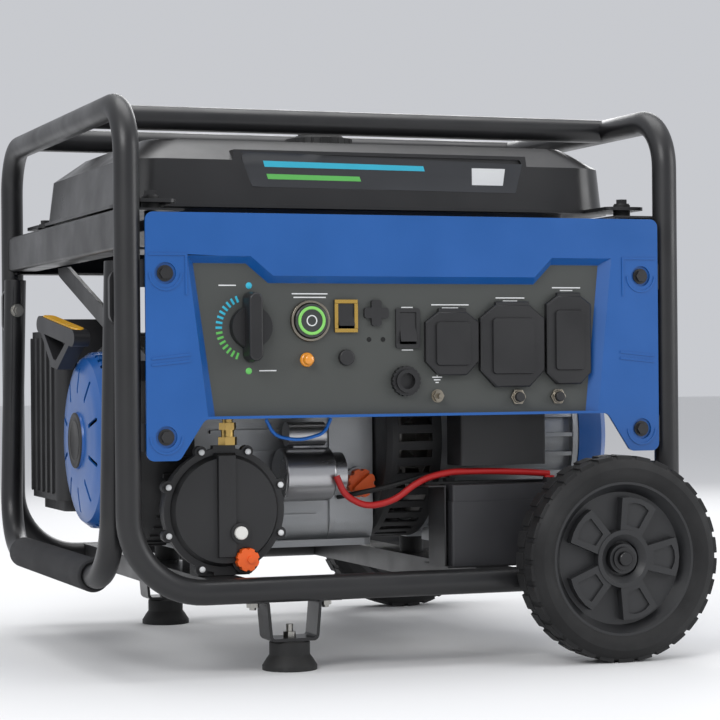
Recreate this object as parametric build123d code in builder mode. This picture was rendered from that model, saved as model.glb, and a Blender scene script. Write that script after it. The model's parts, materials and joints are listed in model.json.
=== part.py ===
from build123d import *
import os
from math import atan, cos, degrees, radians, sin, tan

os.makedirs("parts", exist_ok=True)

# Portable generator: a tube frame on two wheels and two feet, with an engine and alternator in line
# along X, a fuel tank on top, a control panel at the front (-Y) and a folding handle on the left (-X).
# The origin is on the ground under the middle of the machine. Millimetres, +Z up.

# ---------------------------------------------------------------- driving dimensions
tube_r = 14.3              # frame tube, 28.6 outside
tube_bore_r = 12.3
post_x = 326.0             # centre lines of the four posts
post_y = 300.0
top_z = 629.0              # centre line of the top bars and top rails
rail_z = 94.0              # centre line of the bottom rails
top_bend = 58.0
bottom_bend = 85.0
split_z = rail_z + bottom_bend + 6.0    # where hoops and bottom rails are welded
top_rail_y = 144.0

wheel_r = 118.0
wheel_x = 238.4
tyre_inner_y = 318.0
tyre_outer_y = 370.0
rim_r = 88.0
axle_r = 8.0

pivot_x = -330.0           # handle pivot
pivot_z = 417.0
leg_r = 14.0
leg_y = 268.2
grip_r = 19.0
grip_z = 107.0
grip_half = 188.0
grip_x = -(wheel_x + wheel_r) + grip_r  # the grip reaches as far left as the wheels reach right

crank_y = -75.0            # axis of the engine and alternator, along X
crank_z = 256.0
shroud_r = 124.0
recoil_x = -331.0          # outer face of the recoil cover

tank_half_x = 307.0
tank_half_y = 209.0
seam_z = 522.0             # underside of the tank's seam flange
beam_top_z = 514.0

face_y = -314.0            # front of the blue panel
control_y = -304.0         # front of the sunken control plate
bolt_x = 286.8
bolt_upper_z = 442.5
bolt_lower_z = 264.8

fit = 0.3                  # gap between pieces that move past each other
shaft_gap = 0.06           # running clearance of shafts, on the radius


def front(y):
    """Plane facing the operator (-Y) at this y; sketch x is X and sketch y is Z."""
    return Plane.XZ.offset(-y)


def side(x):
    """Plane facing +X at this x; sketch x is Y and sketch y is Z."""
    return Plane.YZ.offset(x)


def level(z):
    return Plane.XY.offset(z)


def export_group(name, members):
    """Write several solids that belong together as one named piece."""
    with BuildPart() as group:
        for member in members:
            add(member)
    group.part.label = name
    export_step(group.part, "parts/" + name + ".step")


# ================================================================ FRAME
frame_tube_runs = []
for x in (-post_x, post_x):
    with BuildPart() as frame_hoop:
        with BuildLine():
            FilletPolyline((x, -post_y, split_z), (x, -post_y, top_z), (x, post_y, top_z),
                           (x, post_y, split_z), radius=top_bend)
        with BuildSketch(level(split_z)):
            with Locations((x, -post_y)):
                Circle(tube_r)
                Circle(tube_bore_r, mode=Mode.SUBTRACT)
        sweep()
    frame_tube_runs.append(frame_hoop.part)

for y in (-post_y, post_y):
    with BuildPart() as frame_bottom_rail:
        with BuildLine():
            FilletPolyline((-post_x, y, split_z), (-post_x, y, rail_z), (post_x, y, rail_z),
                           (post_x, y, split_z), radius=bottom_bend)
        with BuildSketch(level(split_z)):
            with Locations((-post_x, y)):
                Circle(tube_r)
                Circle(tube_bore_r, mode=Mode.SUBTRACT)
        sweep()
    frame_tube_runs.append(frame_bottom_rail.part)

with BuildPart() as frame_top_rails:
    with BuildSketch(side(-post_x)):
        with Locations((-top_rail_y, top_z), (top_rail_y, top_z)):
            Circle(tube_r)
            Circle(tube_bore_r, mode=Mode.SUBTRACT)
    extrude(amount=2 * post_x)
    # the ends are coped to sit on the top bars
    with BuildSketch(front(-post_y), mode=Mode.PRIVATE) as bar_section:
        with Locations((-post_x, top_z), (post_x, top_z)):
            Circle(tube_r)
    extrude(bar_section.sketch, amount=-2 * post_y, mode=Mode.SUBTRACT)

frame_tube_runs.append(frame_top_rails.part)
export_group("frame_tubes", frame_tube_runs)

cross_top_z = 107.0
cross_half = 22.0
cross_left_x = -212.0
cross_right_x = 112.0

with BuildPart() as frame_cross_members:
    for x in (cross_left_x, cross_right_x):
        with BuildSketch(front(-post_y)):
            with Locations((x, cross_top_z - 13)):
                Rectangle(2 * cross_half, 26)
            with Locations((x, cross_top_z - 15.5)):
                Rectangle(2 * cross_half - 5, 26, mode=Mode.SUBTRACT)
        extrude(amount=-2 * post_y)
    with BuildSketch(side(-post_x), mode=Mode.PRIVATE) as rail_section:
        with Locations((-post_y, rail_z), (post_y, rail_z)):
            Circle(tube_r)
    extrude(rail_section.sketch, amount=2 * post_x, mode=Mode.SUBTRACT)

# Pressed beams between the posts carry the tank; a flat brace runs down to the front left post.
beam_bottom_z = 470.0
beam_web_x = 333.0
beam_flange_x = 262.0
mount_x = 289.0
mount_y = 262.0
with BuildPart() as frame_beams:
    for sign in (-1, 1):
        with BuildSketch(front(-post_y)):
            with BuildLine():
                FilletPolyline((sign * (beam_flange_x + 40), beam_bottom_z), (sign * beam_web_x, beam_bottom_z),
                               (sign * beam_web_x, beam_top_z - 1.2), (sign * beam_flange_x, beam_top_z - 1.2),
                               radius=4)
                offset(amount=1.2, side=Side.BOTH)
            make_face()
        extrude(amount=-2 * post_y)
    with BuildSketch(side(-post_x)):
        with BuildLine():
            FilletPolyline((post_y - 26, 466), (post_y + 8, 466), (post_y + 8, 506), (post_y - 26, 506), radius=4)
            offset(amount=1.2, side=Side.BOTH)
        make_face()
    extrude(amount=2 * post_x)
    with BuildSketch(level(split_z), mode=Mode.PRIVATE) as post_sections:
        with Locations((-post_x, -post_y), (post_x, -post_y), (-post_x, post_y), (post_x, post_y)):
            Circle(tube_r)
    extrude(post_sections.sketch, amount=400, mode=Mode.SUBTRACT)
    with BuildSketch(level(beam_top_z)):
        with GridLocations(2 * mount_x, 2 * mount_y, 2, 2):
            Circle(4)
    extrude(amount=-6, mode=Mode.SUBTRACT)

brace_x = -293.0
brace_top = (165.0, beam_bottom_z - 1.2)
brace_low = (-post_y + 9, 334.0)
with BuildPart() as frame_side_brace:
    with BuildSketch(side(brace_x)):
        with BuildLine():
            FilletPolyline(brace_top, (150, 464), (-250, 343), brace_low, radius=12)
            offset(amount=11.5, side=Side.BOTH)
        make_face()
        with Locations((0, beam_bottom_z + 28.8)):
            Rectangle(600, 60, mode=Mode.SUBTRACT)
    extrude(amount=5)
    with BuildSketch(side(-post_x)):
        with Locations((-post_y + 3, 337)):
            Rectangle(6, 22)
    extrude(amount=brace_x + post_x)
    extrude(post_sections.sketch, amount=400, mode=Mode.SUBTRACT)

export_group("frame_beams", [frame_beams.part, frame_side_brace.part])

# Small welded tabs: four behind the front panel, two saddles for the handle, four for the feet.
tab_y = -304.5
saddle_y = 282.9
foot_x = -131.0
foot_y = 261.0
foot_bolt_x = 43.0
foot_tab_z = 80.6
bolt_r = 4.0

with BuildPart() as frame_tabs:
    for x in (-bolt_x, bolt_x):
        for z in (bolt_upper_z, bolt_lower_z):
            with BuildSketch(front(tab_y)):
                with Locations(((x + (313 if x > 0 else -313)) / 2, z)):
                    Rectangle(58, 30)
                with Locations((x, z)):
                    Circle(bolt_r, mode=Mode.SUBTRACT)
            extrude(amount=3)
    for sign in (-1, 1):
        with BuildSketch(front(sign * saddle_y)):
            with Locations((pivot_x, pivot_z)):
                SlotOverall(62, 26, rotation=90)
                Circle(bolt_r, mode=Mode.SUBTRACT)
        extrude(amount=-sign * 8)
        for x in (foot_x - foot_bolt_x, foot_x + foot_bolt_x):
            with BuildSketch(level(foot_tab_z)):
                with Locations((x, sign * (foot_y + 14))):
                    Rectangle(26, 64)
                with Locations((x, sign * foot_y)):
                    Circle(bolt_r, mode=Mode.SUBTRACT)
            extrude(amount=3)
    extrude(post_sections.sketch, amount=400, mode=Mode.SUBTRACT)
    extrude(rail_section.sketch, amount=2 * post_x, mode=Mode.SUBTRACT)

export_group("frame_cross_members", [frame_cross_members.part, frame_tabs.part])

# ================================================================ WHEELS AND AXLE
bearing_r = axle_r + shaft_gap
tread_lugs = 30
petal_count = 5


def hub_plane(sign, y):
    """Plane facing outward on the front (-1) or rear (+1) wheel, centred on the axle."""
    return Plane(origin=(wheel_x, sign * y, wheel_r), x_dir=(1, 0, 0), z_dir=(0, sign, 0))


dish_r = 76.0
hub_ring_r = 33.0
hub_bore_r = 20.5
petal = ((30, -14), (66, -22.5), (69.5, -12), (70.7, 0), (69.5, 12), (66, 22.5), (30, 14))
petal_recess = ((38, -8), (61, -14), (64.5, -7), (65.3, 0), (64.5, 7), (61, 14), (38, 8))
for sign, word in ((-1, "front"), (1, "rear")):
    middle = (tyre_inner_y + tyre_outer_y) / 2
    half = (tyre_outer_y - tyre_inner_y) / 2
    # The tyre's section, as radius against distance from its middle plane, turned about the axle.
    with BuildPart() as wheel_tyre:
        with BuildSketch(Plane(origin=(wheel_x, sign * middle, wheel_r), x_dir=(0, sign, 0), z_dir=(-1, 0, 0))):
            with BuildLine():
                Polyline((-half + 7, rim_r + 0.0), (half - 7, rim_r), (half - 2, rim_r + 7), (half, rim_r + 16),
                         (half - 3, wheel_r - 7), (half - 8, wheel_r - 2), (-half + 8, wheel_r - 2),
                         (-half + 3, wheel_r - 7), (-half, rim_r + 16), (-half + 2, rim_r + 7),
                         (-half + 7, rim_r), close=True)
            make_face()
        revolve(axis=Axis((wheel_x, 0, wheel_r), (0, 1, 0)))
        # staggered tread blocks on both shoulders
        for row, shift in ((-1, 0.0), (1, 0.5)):
            block_plane = Plane(origin=(wheel_x, sign * (middle + row * 11), wheel_r),
                                x_dir=(1, 0, 0), z_dir=(0, -1, 0))
            with BuildSketch(block_plane):
                with PolarLocations(wheel_r - 3.6, tread_lugs, start_angle=shift * 360 / tread_lugs):
                    Rectangle(7, 18)
                with Locations((0, 0)):
                    Circle(wheel_r, mode=Mode.INTERSECT)
            extrude(amount=9.5, both=True)
    wheel_tyre.part.label = "wheel_tyre_" + word
    export_step(wheel_tyre.part, "parts/wheel_tyre_" + word + ".step")

    # Moulded rim: a dished disc with a hub ring and five raised U-shaped petals between deep pockets.
    with BuildPart() as wheel_rim:
        with BuildSketch(Plane(origin=(wheel_x, sign * middle, wheel_r), x_dir=(0, sign, 0), z_dir=(-1, 0, 0))):
            Polygon((half - 7, rim_r), (half - 7, rim_r - 3), (half - 20, dish_r), (half - 20, hub_ring_r),
                    (half - 8, hub_ring_r), (half - 8, hub_ring_r - 5), (half - 14, hub_bore_r),
                    (half - 20, hub_bore_r), (half - 20, 17), (half - 10, 17), (half - 10, bearing_r),
                    (-half - 1, bearing_r), (-half - 1, 24), (-half + 16, 24), (-half + 16, dish_r),
                    (-half + 7, rim_r - 6), (-half + 7, rim_r), align=None)
        revolve(axis=Axis((wheel_x, 0, wheel_r), (0, 1, 0)))
        with BuildSketch(hub_plane(sign, tyre_outer_y - 20.5)):
            with PolarLocations(0, petal_count):
                Polygon(*petal, align=None)
            Circle(hub_ring_r - 1, mode=Mode.SUBTRACT)
        extrude(amount=11.5)
        with BuildSketch(hub_plane(sign, tyre_outer_y - 12)):
            with PolarLocations(0, petal_count):
                Polygon(*petal_recess, align=None)
        extrude(amount=5, mode=Mode.SUBTRACT)
    wheel_rim.part.label = "wheel_rim_" + word
    export_step(wheel_rim.part, "parts/wheel_rim_" + word + ".step")

with BuildPart() as axle:
    with BuildSketch(Plane(origin=(wheel_x, tyre_outer_y - 2, wheel_r), x_dir=(1, 0, 0), z_dir=(0, -1, 0))):
        Circle(axle_r)
    extrude(amount=2 * (tyre_outer_y - 2))
    chamfer(axle.edges().filter_by(GeomType.CIRCLE), length=1)
axle.part.label = "axle"
export_step(axle.part, "parts/axle.step")

# Washers and push nuts that keep the wheels on, both sides of both wheels.
with BuildPart() as axle_washers:
    for sign in (-1, 1):
        for y, thick, r in ((tyre_inner_y - 1 - fit, -2.0, 15.0), (tyre_outer_y - 10 + fit, 3.0, 13.5)):
            with BuildSketch(hub_plane(sign, y)):
                Circle(r)
                Circle(axle_r, mode=Mode.SUBTRACT)
            extrude(amount=thick)

# Saddle straps that hold the axle on top of the two bottom rails.
strap_t = 3.0
with BuildPart() as axle_brackets:
    for sign in (-1, 1):
        with BuildSketch(front(sign * 272)):
            with Locations((wheel_x, wheel_r)):
                Circle(axle_r + strap_t)
            with Locations((wheel_x, (wheel_r + rail_z) / 2)):
                Rectangle(2 * (axle_r + strap_t), wheel_r - rail_z)
            with Locations((wheel_x, rail_z + 1)):
                Rectangle(2 * (axle_r + strap_t), 6)
            with Locations((wheel_x, wheel_r)):
                Circle(axle_r, mode=Mode.SUBTRACT)
            # the rail starts to bend upward here
            with Locations((post_x - bottom_bend + 10, rail_z + 8)):
                Rectangle(20, 20, mode=Mode.SUBTRACT)
        extrude(amount=-sign * 28)
    extrude(rail_section.sketch, amount=2 * post_x, mode=Mode.SUBTRACT)

# ================================================================ FEET
foot_base_r = 31.0
foot_neck_r = 23.0
foot_h = 33.0
bracket_w = 38.0
bracket_t = 3.5
flange_half = 55.5
with BuildPart() as foot_pads:
    for sign in (-1, 1):
        with BuildSketch(Plane(origin=(foot_x, sign * foot_y, 0), x_dir=(1, 0, 0), z_dir=(0, -1, 0))):
            with BuildLine():
                Polyline((0, 0), (foot_base_r, 0), (foot_base_r, 5), (foot_base_r - 5, 13), (foot_neck_r, 17),
                         (foot_neck_r, foot_h - 2), (foot_neck_r - 2, foot_h), (0, foot_h), close=True)
            make_face()
        revolve(axis=Axis((foot_x, sign * foot_y, 0), (0, 0, 1)))
foot_pads.part.label = "foot_pads"
export_step(foot_pads.part, "parts/foot_pads.step")

with BuildPart() as foot_brackets:
    for sign in (-1, 1):
        with BuildSketch(front(sign * foot_y + bracket_w / 2)):
            with BuildLine():
                FilletPolyline((foot_x - flange_half, foot_tab_z - 1.75), (foot_x - 31, foot_tab_z - 1.75),
                               (foot_x - 27, foot_h + 1.75), (foot_x + 27, foot_h + 1.75),
                               (foot_x + 31, foot_tab_z - 1.75), (foot_x + flange_half, foot_tab_z - 1.75), radius=5)
                offset(amount=bracket_t / 2, side=Side.BOTH)
            make_face()
        extrude(amount=bracket_w)
        with BuildSketch(level(foot_h - 4)):
            with Locations((foot_x, sign * foot_y), (foot_x - foot_bolt_x, sign * foot_y),
                           (foot_x + foot_bolt_x, sign * foot_y)):
                Circle(bolt_r)
        extrude(amount=60, mode=Mode.SUBTRACT)

# Bolts of the feet (down through the tabs), and the studs that hold the rubber pads.
with BuildPart() as foot_bolts:
    for sign in (-1, 1):
        for x in (foot_x - foot_bolt_x, foot_x + foot_bolt_x):
            with BuildSketch(level(foot_tab_z + 3)):
                with Locations((x, sign * foot_y)):
                    RegularPolygon(7.4, 6)
            extrude(amount=4)
            with BuildSketch(level(foot_tab_z + 3.5)):
                with Locations((x, sign * foot_y)):
                    Circle(bolt_r)
            extrude(amount=-16)
            with BuildSketch(level(foot_tab_z - bracket_t)):
                with Locations((x, sign * foot_y)):
                    RegularPolygon(7.4, 6)
            extrude(amount=-6)
        with BuildSketch(level(foot_h + bracket_t)):
            with Locations((foot_x, sign * foot_y)):
                RegularPolygon(7.4, 6)
        extrude(amount=6)
        with BuildSketch(level(foot_h)):
            with Locations((foot_x, sign * foot_y)):
                Circle(bolt_r)
        extrude(amount=18)

# ================================================================ HANDLE
lean = atan((pivot_x - grip_x) / (pivot_z - grip_z))
leg_top_z = 457.0
leg_top_x = pivot_x + (leg_top_z - pivot_z) * tan(lean)
handle_bend = 74.0
leg_section = Plane(origin=(leg_top_x, leg_y, leg_top_z), x_dir=(0, 1, 0), z_dir=(-sin(lean), 0, -cos(lean)))
with BuildPart() as handle_tube:
    with BuildLine():
        FilletPolyline((leg_top_x, leg_y, leg_top_z), (grip_x, leg_y, grip_z), (grip_x, -leg_y, grip_z),
                       (leg_top_x, -leg_y, leg_top_z), radius=handle_bend)
    with BuildSketch(leg_section):
        Circle(leg_r)
        Circle(leg_r - 1.8, mode=Mode.SUBTRACT)
    sweep()
    with BuildSketch(front(-post_y)):
        with Locations((pivot_x, pivot_z)):
            Circle(bolt_r + shaft_gap)
    extrude(amount=-2 * post_y, mode=Mode.SUBTRACT)
handle_tube.part.label = "handle_tube"
export_step(handle_tube.part, "parts/handle_tube.step")

with BuildPart() as handle_grip:
    with BuildSketch(front(-grip_half)):
        with Locations((grip_x, grip_z)):
            Circle(grip_r)
            Circle(leg_r, mode=Mode.SUBTRACT)
    extrude(amount=-2 * grip_half)
    fillet(handle_grip.edges().filter_by(GeomType.CIRCLE).group_by(SortBy.RADIUS)[-1], radius=3)
handle_grip.part.label = "handle_grip"
export_step(handle_grip.part, "parts/handle_grip.step")

# Pivot bolts: each is fixed in its saddle and carries a washer and nut on the inner side of the leg.
with BuildPart() as handle_bolts:
    for sign in (-1, 1):
        inner_y = leg_y - leg_r - fit
        with BuildSketch(Plane(origin=(pivot_x, sign * (saddle_y + 2), pivot_z), x_dir=(1, 0, 0), z_dir=(0, -sign, 0))):
            Circle(bolt_r)
        extrude(amount=saddle_y + 2 - inner_y + 11)
        washer = Plane(origin=(pivot_x, sign * inner_y, pivot_z), x_dir=(1, 0, 0), z_dir=(0, -sign, 0))
        with BuildSketch(washer):
            Circle(8.5)
        extrude(amount=1.6)
        with BuildSketch(washer.offset(1.6)):
            RegularPolygon(7.4, 6)
        extrude(amount=6.5)

# ================================================================ FUEL TANK
tank_front_z = 577.0       # top of the upright front face
tank_top_z = 603.0
flange_t = 2.0
neck_r = 34.0
label_x = 6.0


def flange_outline():
    """Seam flange of the tank with an ear at each corner for the rubber mounts."""
    RectangleRounded(2 * tank_half_x + 8, 2 * tank_half_y + 18, 54)
    with GridLocations(2 * (mount_x - 2), 2 * (mount_y - 22), 2, 2):
        RectangleRounded(50, 78, 10)
    with GridLocations(2 * mount_x, 2 * mount_y, 2, 2):
        Circle(6, mode=Mode.SUBTRACT)


with BuildPart() as tank_upper_shell:
    for z, wide, deep, corner in ((seam_z + 2 * flange_t, 614, 418, 50), (tank_front_z, 600, 418, 48),
                                  (tank_top_z, 530, 340, 34)):
        with BuildSketch(level(z)):
            RectangleRounded(wide, deep, corner)
    loft(ruled=True)
    with BuildSketch(front(-tank_half_y)):
        with BuildLine():
            Polyline((label_x - 190, 530), (label_x - 182, 589), (label_x + 182, 589), (label_x + 190, 530), close=True)
        make_face()
    extrude(amount=-90)
    with BuildSketch(front(-tank_half_y)):
        with BuildLine():
            FilletPolyline((-154, 546), (-169, 585), (184, 585), (175, 546), radius=5, close=True)
        make_face()
    extrude(amount=-4, mode=Mode.SUBTRACT)
    for z, wide, deep, corner in ((seam_z, 608, 404, 47), (tank_front_z - 2, 594, 404, 45),
                                  (tank_top_z - 3, 524, 330, 31)):
        with BuildSketch(level(z)):
            RectangleRounded(wide, deep, corner)
    loft(ruled=True, mode=Mode.SUBTRACT)
    with BuildSketch(level(tank_top_z - 3)):
        Circle(neck_r)
    extrude(amount=15)
    with BuildSketch(level(tank_top_z - 4)):
        Circle(neck_r - 5)
    extrude(amount=20, mode=Mode.SUBTRACT)
    with BuildSketch(level(seam_z + flange_t)):
        flange_outline()
        RectangleRounded(600, 398, 44, mode=Mode.SUBTRACT)
    extrude(amount=flange_t)

with BuildPart() as tank_lower_shell:
    for z, wide, deep, corner in ((seam_z + 1, 514, 398, 44), (501, 506, 390, 42), (487, 466, 350, 30)):
        with BuildSketch(level(z)):
            RectangleRounded(wide, deep, corner)
    loft(ruled=True)
    with BuildSketch(level(seam_z)):
        flange_outline()
    extrude(amount=flange_t)
    for z, wide, deep, corner in ((seam_z + 3, 510, 394, 42), (502, 502, 386, 40), (489, 462, 346, 28)):
        with BuildSketch(level(z)):
            RectangleRounded(wide, deep, corner)
    loft(ruled=True, mode=Mode.SUBTRACT)
tank_lower_shell.part.label = "tank_lower_shell"
export_step(tank_lower_shell.part, "parts/tank_lower_shell.step")

# Rubber bobbins between the tank's ears and the beams, and the bolts through them.
with BuildPart() as tank_rubber_mounts:
    for z, thick, r in ((beam_top_z, seam_z - beam_top_z, 10), (seam_z, 2 * flange_t, 6), (seam_z + 2 * flange_t, 3, 10)):
        with BuildSketch(level(z)):
            with GridLocations(2 * mount_x, 2 * mount_y, 2, 2):
                Circle(r)
                Circle(4, mode=Mode.SUBTRACT)
        extrude(amount=thick)

bobbin_top_z = seam_z + 2 * flange_t + 3
with BuildPart() as tank_bolts:
    for z, thick, r, is_hex in ((bobbin_top_z, 1.5, 9, False), (bobbin_top_z + 1.5, 5, 7, True),
                                (bobbin_top_z, -28, 4, False), (beam_top_z - 2.4, -6, 7, True)):
        with BuildSketch(level(z)):
            with GridLocations(2 * mount_x, 2 * mount_y, 2, 2):
                if is_hex:
                    RegularPolygon(r, 6)
                else:
                    Circle(r)
        extrude(amount=thick)

with BuildPart() as fuel_cap:
    with BuildSketch(level(tank_top_z + 2)):
        Circle(neck_r + 8)
        with PolarLocations(neck_r + 8.5, 24):
            Circle(1.6, mode=Mode.SUBTRACT)
    extrude(amount=19)
    with BuildSketch(level(tank_top_z + 2)):
        Circle(neck_r + shaft_gap)
    extrude(amount=10.3, mode=Mode.SUBTRACT)
    with BuildSketch(level(tank_top_z + 21)):
        Circle(neck_r - 2)
    extrude(amount=4, taper=30)
    with BuildSketch(level(tank_top_z + 25)):
        SlotOverall(54, 10)
    extrude(amount=6)
fuel_cap.part.label = "fuel_cap"
export_step(fuel_cap.part, "parts/fuel_cap.step")

gauge_x = 170.0
gauge_y = 40.0
with BuildPart() as fuel_gauge:
    with BuildSketch(level(tank_top_z)):
        with Locations((gauge_x, gauge_y)):
            Circle(24)
    extrude(amount=7)
    with BuildSketch(level(tank_top_z + 7)):
        with Locations((gauge_x, gauge_y)):
            Circle(20)
    extrude(amount=3, taper=40)

# ================================================================ CONTROL PANEL
control_points = ((-253, 454), (-193, 454), (-167, 432.5), (154, 432.5), (176, 455), (236, 455), (219, 286.5),
                  (-229, 286.5))
panel_half = 309.0
panel_top_z = 509.0
wing_bottom_z = 239.0
panel_t = 3.5
lip = 3.0                  # margin of the panel below the control opening


def control_outline(grow):
    """Outline of the sunken control plate, grown outward by this much."""
    Polygon(*control_points, align=None)
    if grow > 0:
        offset(amount=grow, kind=Kind.INTERSECTION, mode=Mode.REPLACE)


# front edge of the slanted walls round the control plate
opening = ((-262, 462), (-190, 462), (-164, 440.5), (151, 440.5), (173, 463), (249, 463), (231, 286.5), (-240, 286.5))

with BuildPart() as front_panel:
    with BuildSketch(front(face_y + panel_t)):
        with BuildLine():
            FilletPolyline((-panel_half, panel_top_z), (panel_half, panel_top_z), (panel_half, wing_bottom_z),
                           (272, wing_bottom_z), (243, 286.5 - lip), (-243, 286.5 - lip), (-272, wing_bottom_z),
                           (-panel_half, wing_bottom_z), radius=9, close=True)
        make_face()
    extrude(amount=panel_t)
    with BuildSketch(front(control_y)):
        control_outline(lip)
    extrude(amount=control_y - face_y - panel_t)
    with BuildSketch(front(control_y)):
        Polygon(*opening, align=None)
        offset(amount=lip - 0.2, kind=Kind.INTERSECTION, mode=Mode.REPLACE)
    extrude(amount=control_y - face_y - panel_t)
    # slanted walls of the opening
    with BuildSketch(front(face_y - 0.1)):
        Polygon(*opening, align=None)
    with BuildSketch(front(control_y + 0.1)):
        control_outline(0)
    loft(mode=Mode.SUBTRACT)
    # dished seats of the four bolts, and a raised arc under each
    for x in (-bolt_x, bolt_x):
        for z in (bolt_upper_z, bolt_lower_z):
            with BuildSketch(front(face_y + panel_t)):
                with Locations((x, z)):
                    Circle(12)
            extrude(amount=-2.5)
            with BuildSketch(front(face_y)):
                with Locations((x, z)):
                    Circle(12)
            extrude(amount=-2.5, mode=Mode.SUBTRACT)
            with BuildSketch(front(face_y)):
                with Locations((x, z)):
                    Circle(19)
                    Circle(16.5, mode=Mode.SUBTRACT)
                with Locations((x, z + 12)):
                    Rectangle(50, 24, mode=Mode.SUBTRACT)
            extrude(amount=1)
            with BuildSketch(front(face_y)):
                with Locations((x, z)):
                    Circle(bolt_r)
            extrude(amount=-8, mode=Mode.SUBTRACT)
    # pressed ridges: one across above each upper bolt, and two slanted ones on each wing
    for sign in (-1, 1):
        with BuildSketch(front(face_y)):
            with Locations((sign * 284, 463)):
                Rectangle(44, 2.5)
            with Locations((sign * 263.5, 441)):
                Rectangle(2.5, 44)
            for z in (352, 345):
                with Locations(Location((sign * 281, z), sign * -6)):
                    Rectangle(44, 2.5)
        extrude(amount=1)
front_panel.part.label = "front_panel"
export_step(front_panel.part, "parts/front_panel.step")

# (x, z) of the controls on the sunken plate
selector_at = (-188.0, 384.0)
start_at = (-118.5, 391.0)
switch_at = (-76.5, 396.3)
cluster_at = (-40.5, 399.7)
voltage_at = (-2.5, 382.5)
lamp_at = (-122.5, 347.8)
reset_at = (-76.4, 349.8)
socket_at = (-6.0, 323.0)
ground_at = (33.5, 305.8)
breaker_left_at = (133.0, 303.5)
breaker_right_at = (183.4, 303.5)
# outlets: (x, z), width, height of the cover
outlets = {"left": ((50.0, 367.0), 65.0, 76.0), "middle": ((124.5, 364.0), 80.0, 98.0), "right": ((195.5, 370.5), 56.0, 106.0)}
plate_t = 3.0
start_r = 19.0
reset_r = 9.0
breaker_r = 5.5
selector_shaft_r = 6.0

with BuildPart() as control_face:
    with BuildSketch(front(control_y + plate_t)):
        control_outline(lip)
        for place, r in ((selector_at, selector_shaft_r + shaft_gap), (start_at, start_r + 2), (reset_at, reset_r + shaft_gap),
                         (breaker_left_at, breaker_r + 2), (breaker_right_at, breaker_r + 2), (lamp_at, 6)):
            with Locations(place):
                Circle(r, mode=Mode.SUBTRACT)
        for place, wide, high in ((switch_at, 22, 31), (voltage_at, 23, 39)):
            with Locations(place):
                Rectangle(wide, high, mode=Mode.SUBTRACT)
        for place, wide, high in outlets.values():
            with Locations(place):
                Rectangle(wide - 16, high - 22, mode=Mode.SUBTRACT)
    extrude(amount=plate_t)
control_face.part.label = "control_face"
export_step(control_face.part, "parts/control_face.step")

box_back_y = -214.0
with BuildPart() as control_box:
    with BuildSketch(front(box_back_y)):
        control_outline(lip)
    extrude(amount=box_back_y - control_y - plate_t)
    with BuildSketch(front(box_back_y - 2)):
        control_outline(0)
        with Locations((0, 281)):
            Rectangle(560, 16, mode=Mode.SUBTRACT)
    extrude(amount=90, mode=Mode.SUBTRACT)

with BuildPart() as panel_bolts:
    for x in (-bolt_x, bolt_x):
        for z in (bolt_upper_z, bolt_lower_z):
            with BuildSketch(front(face_y + 2.5)):
                with Locations((x, z)):
                    Circle(9)
            extrude(amount=1.5)
            with BuildSketch(front(face_y + 1)):
                with Locations((x, z)):
                    RegularPolygon(6.8, 6)
            extrude(amount=4)
            with BuildSketch(front(face_y + 2.5)):
                with Locations((x, z)):
                    Circle(bolt_r)
            extrude(amount=-14)

with BuildPart() as fuel_selector_knob:
    with BuildSketch(front(control_y - fit)):
        with Locations(selector_at):
            Circle(24)
    extrude(amount=9, taper=6)
    with BuildSketch(front(control_y - 3)):
        with Locations(selector_at):
            SlotOverall(78, 19, rotation=90)
    extrude(amount=21, taper=5)
    fillet(fuel_selector_knob.faces().sort_by(Axis.Y)[0].edges(), radius=2.5)
    with BuildSketch(front(control_y - fit)):
        with Locations(selector_at):
            Circle(selector_shaft_r)
    extrude(amount=-26)
fuel_selector_knob.part.label = "fuel_selector_knob"
export_step(fuel_selector_knob.part, "parts/fuel_selector_knob.step")

with BuildPart() as start_button:
    with BuildSketch(front(control_y + 12)):
        with Locations(start_at):
            Circle(start_r)
    extrude(amount=19)
    fillet(start_button.faces().sort_by(Axis.Y)[0].edges(), radius=1.5)
start_button.part.label = "start_button"
export_step(start_button.part, "parts/start_button.step")

# Chromed bezel of the start button and the hexagon nuts of the two breakers.
with BuildPart() as control_ring_nuts:
    with BuildSketch(front(control_y)):
        with Locations(start_at):
            Circle(start_r + 4.5)
            Circle(start_r + shaft_gap, mode=Mode.SUBTRACT)
    extrude(amount=4, taper=12)
    for place in (breaker_left_at, breaker_right_at):
        with BuildSketch(front(control_y)):
            with Locations(place):
                RegularPolygon(9.5, 6)
                Circle(breaker_r + 1.5, mode=Mode.SUBTRACT)
        extrude(amount=3)
        with BuildSketch(front(control_y + 14)):
            with Locations(place):
                Circle(breaker_r + 1.5)
                Circle(breaker_r + shaft_gap, mode=Mode.SUBTRACT)
        extrude(amount=20)

# Frames of the two rocker switches, and the four-way lamp cluster beside them.
with BuildPart() as switch_frames:
    for place, wide, high in ((switch_at, 22, 31), (voltage_at, 23, 39)):
        with BuildSketch(front(control_y)):
            with Locations(place):
                RectangleRounded(wide + 6, high + 6, 2.5)
                Rectangle(wide - 3, high - 3, mode=Mode.SUBTRACT)
        extrude(amount=3)
        with BuildSketch(front(control_y + 16)):
            with Locations(place):
                Rectangle(wide, high)
                Rectangle(wide - 3, high - 3, mode=Mode.SUBTRACT)
        extrude(amount=16)
    with BuildSketch(front(control_y)):
        with Locations(cluster_at):
            RectangleRounded(29, 12, 3)
            RectangleRounded(12, 29, 3)
    extrude(amount=4)

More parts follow.
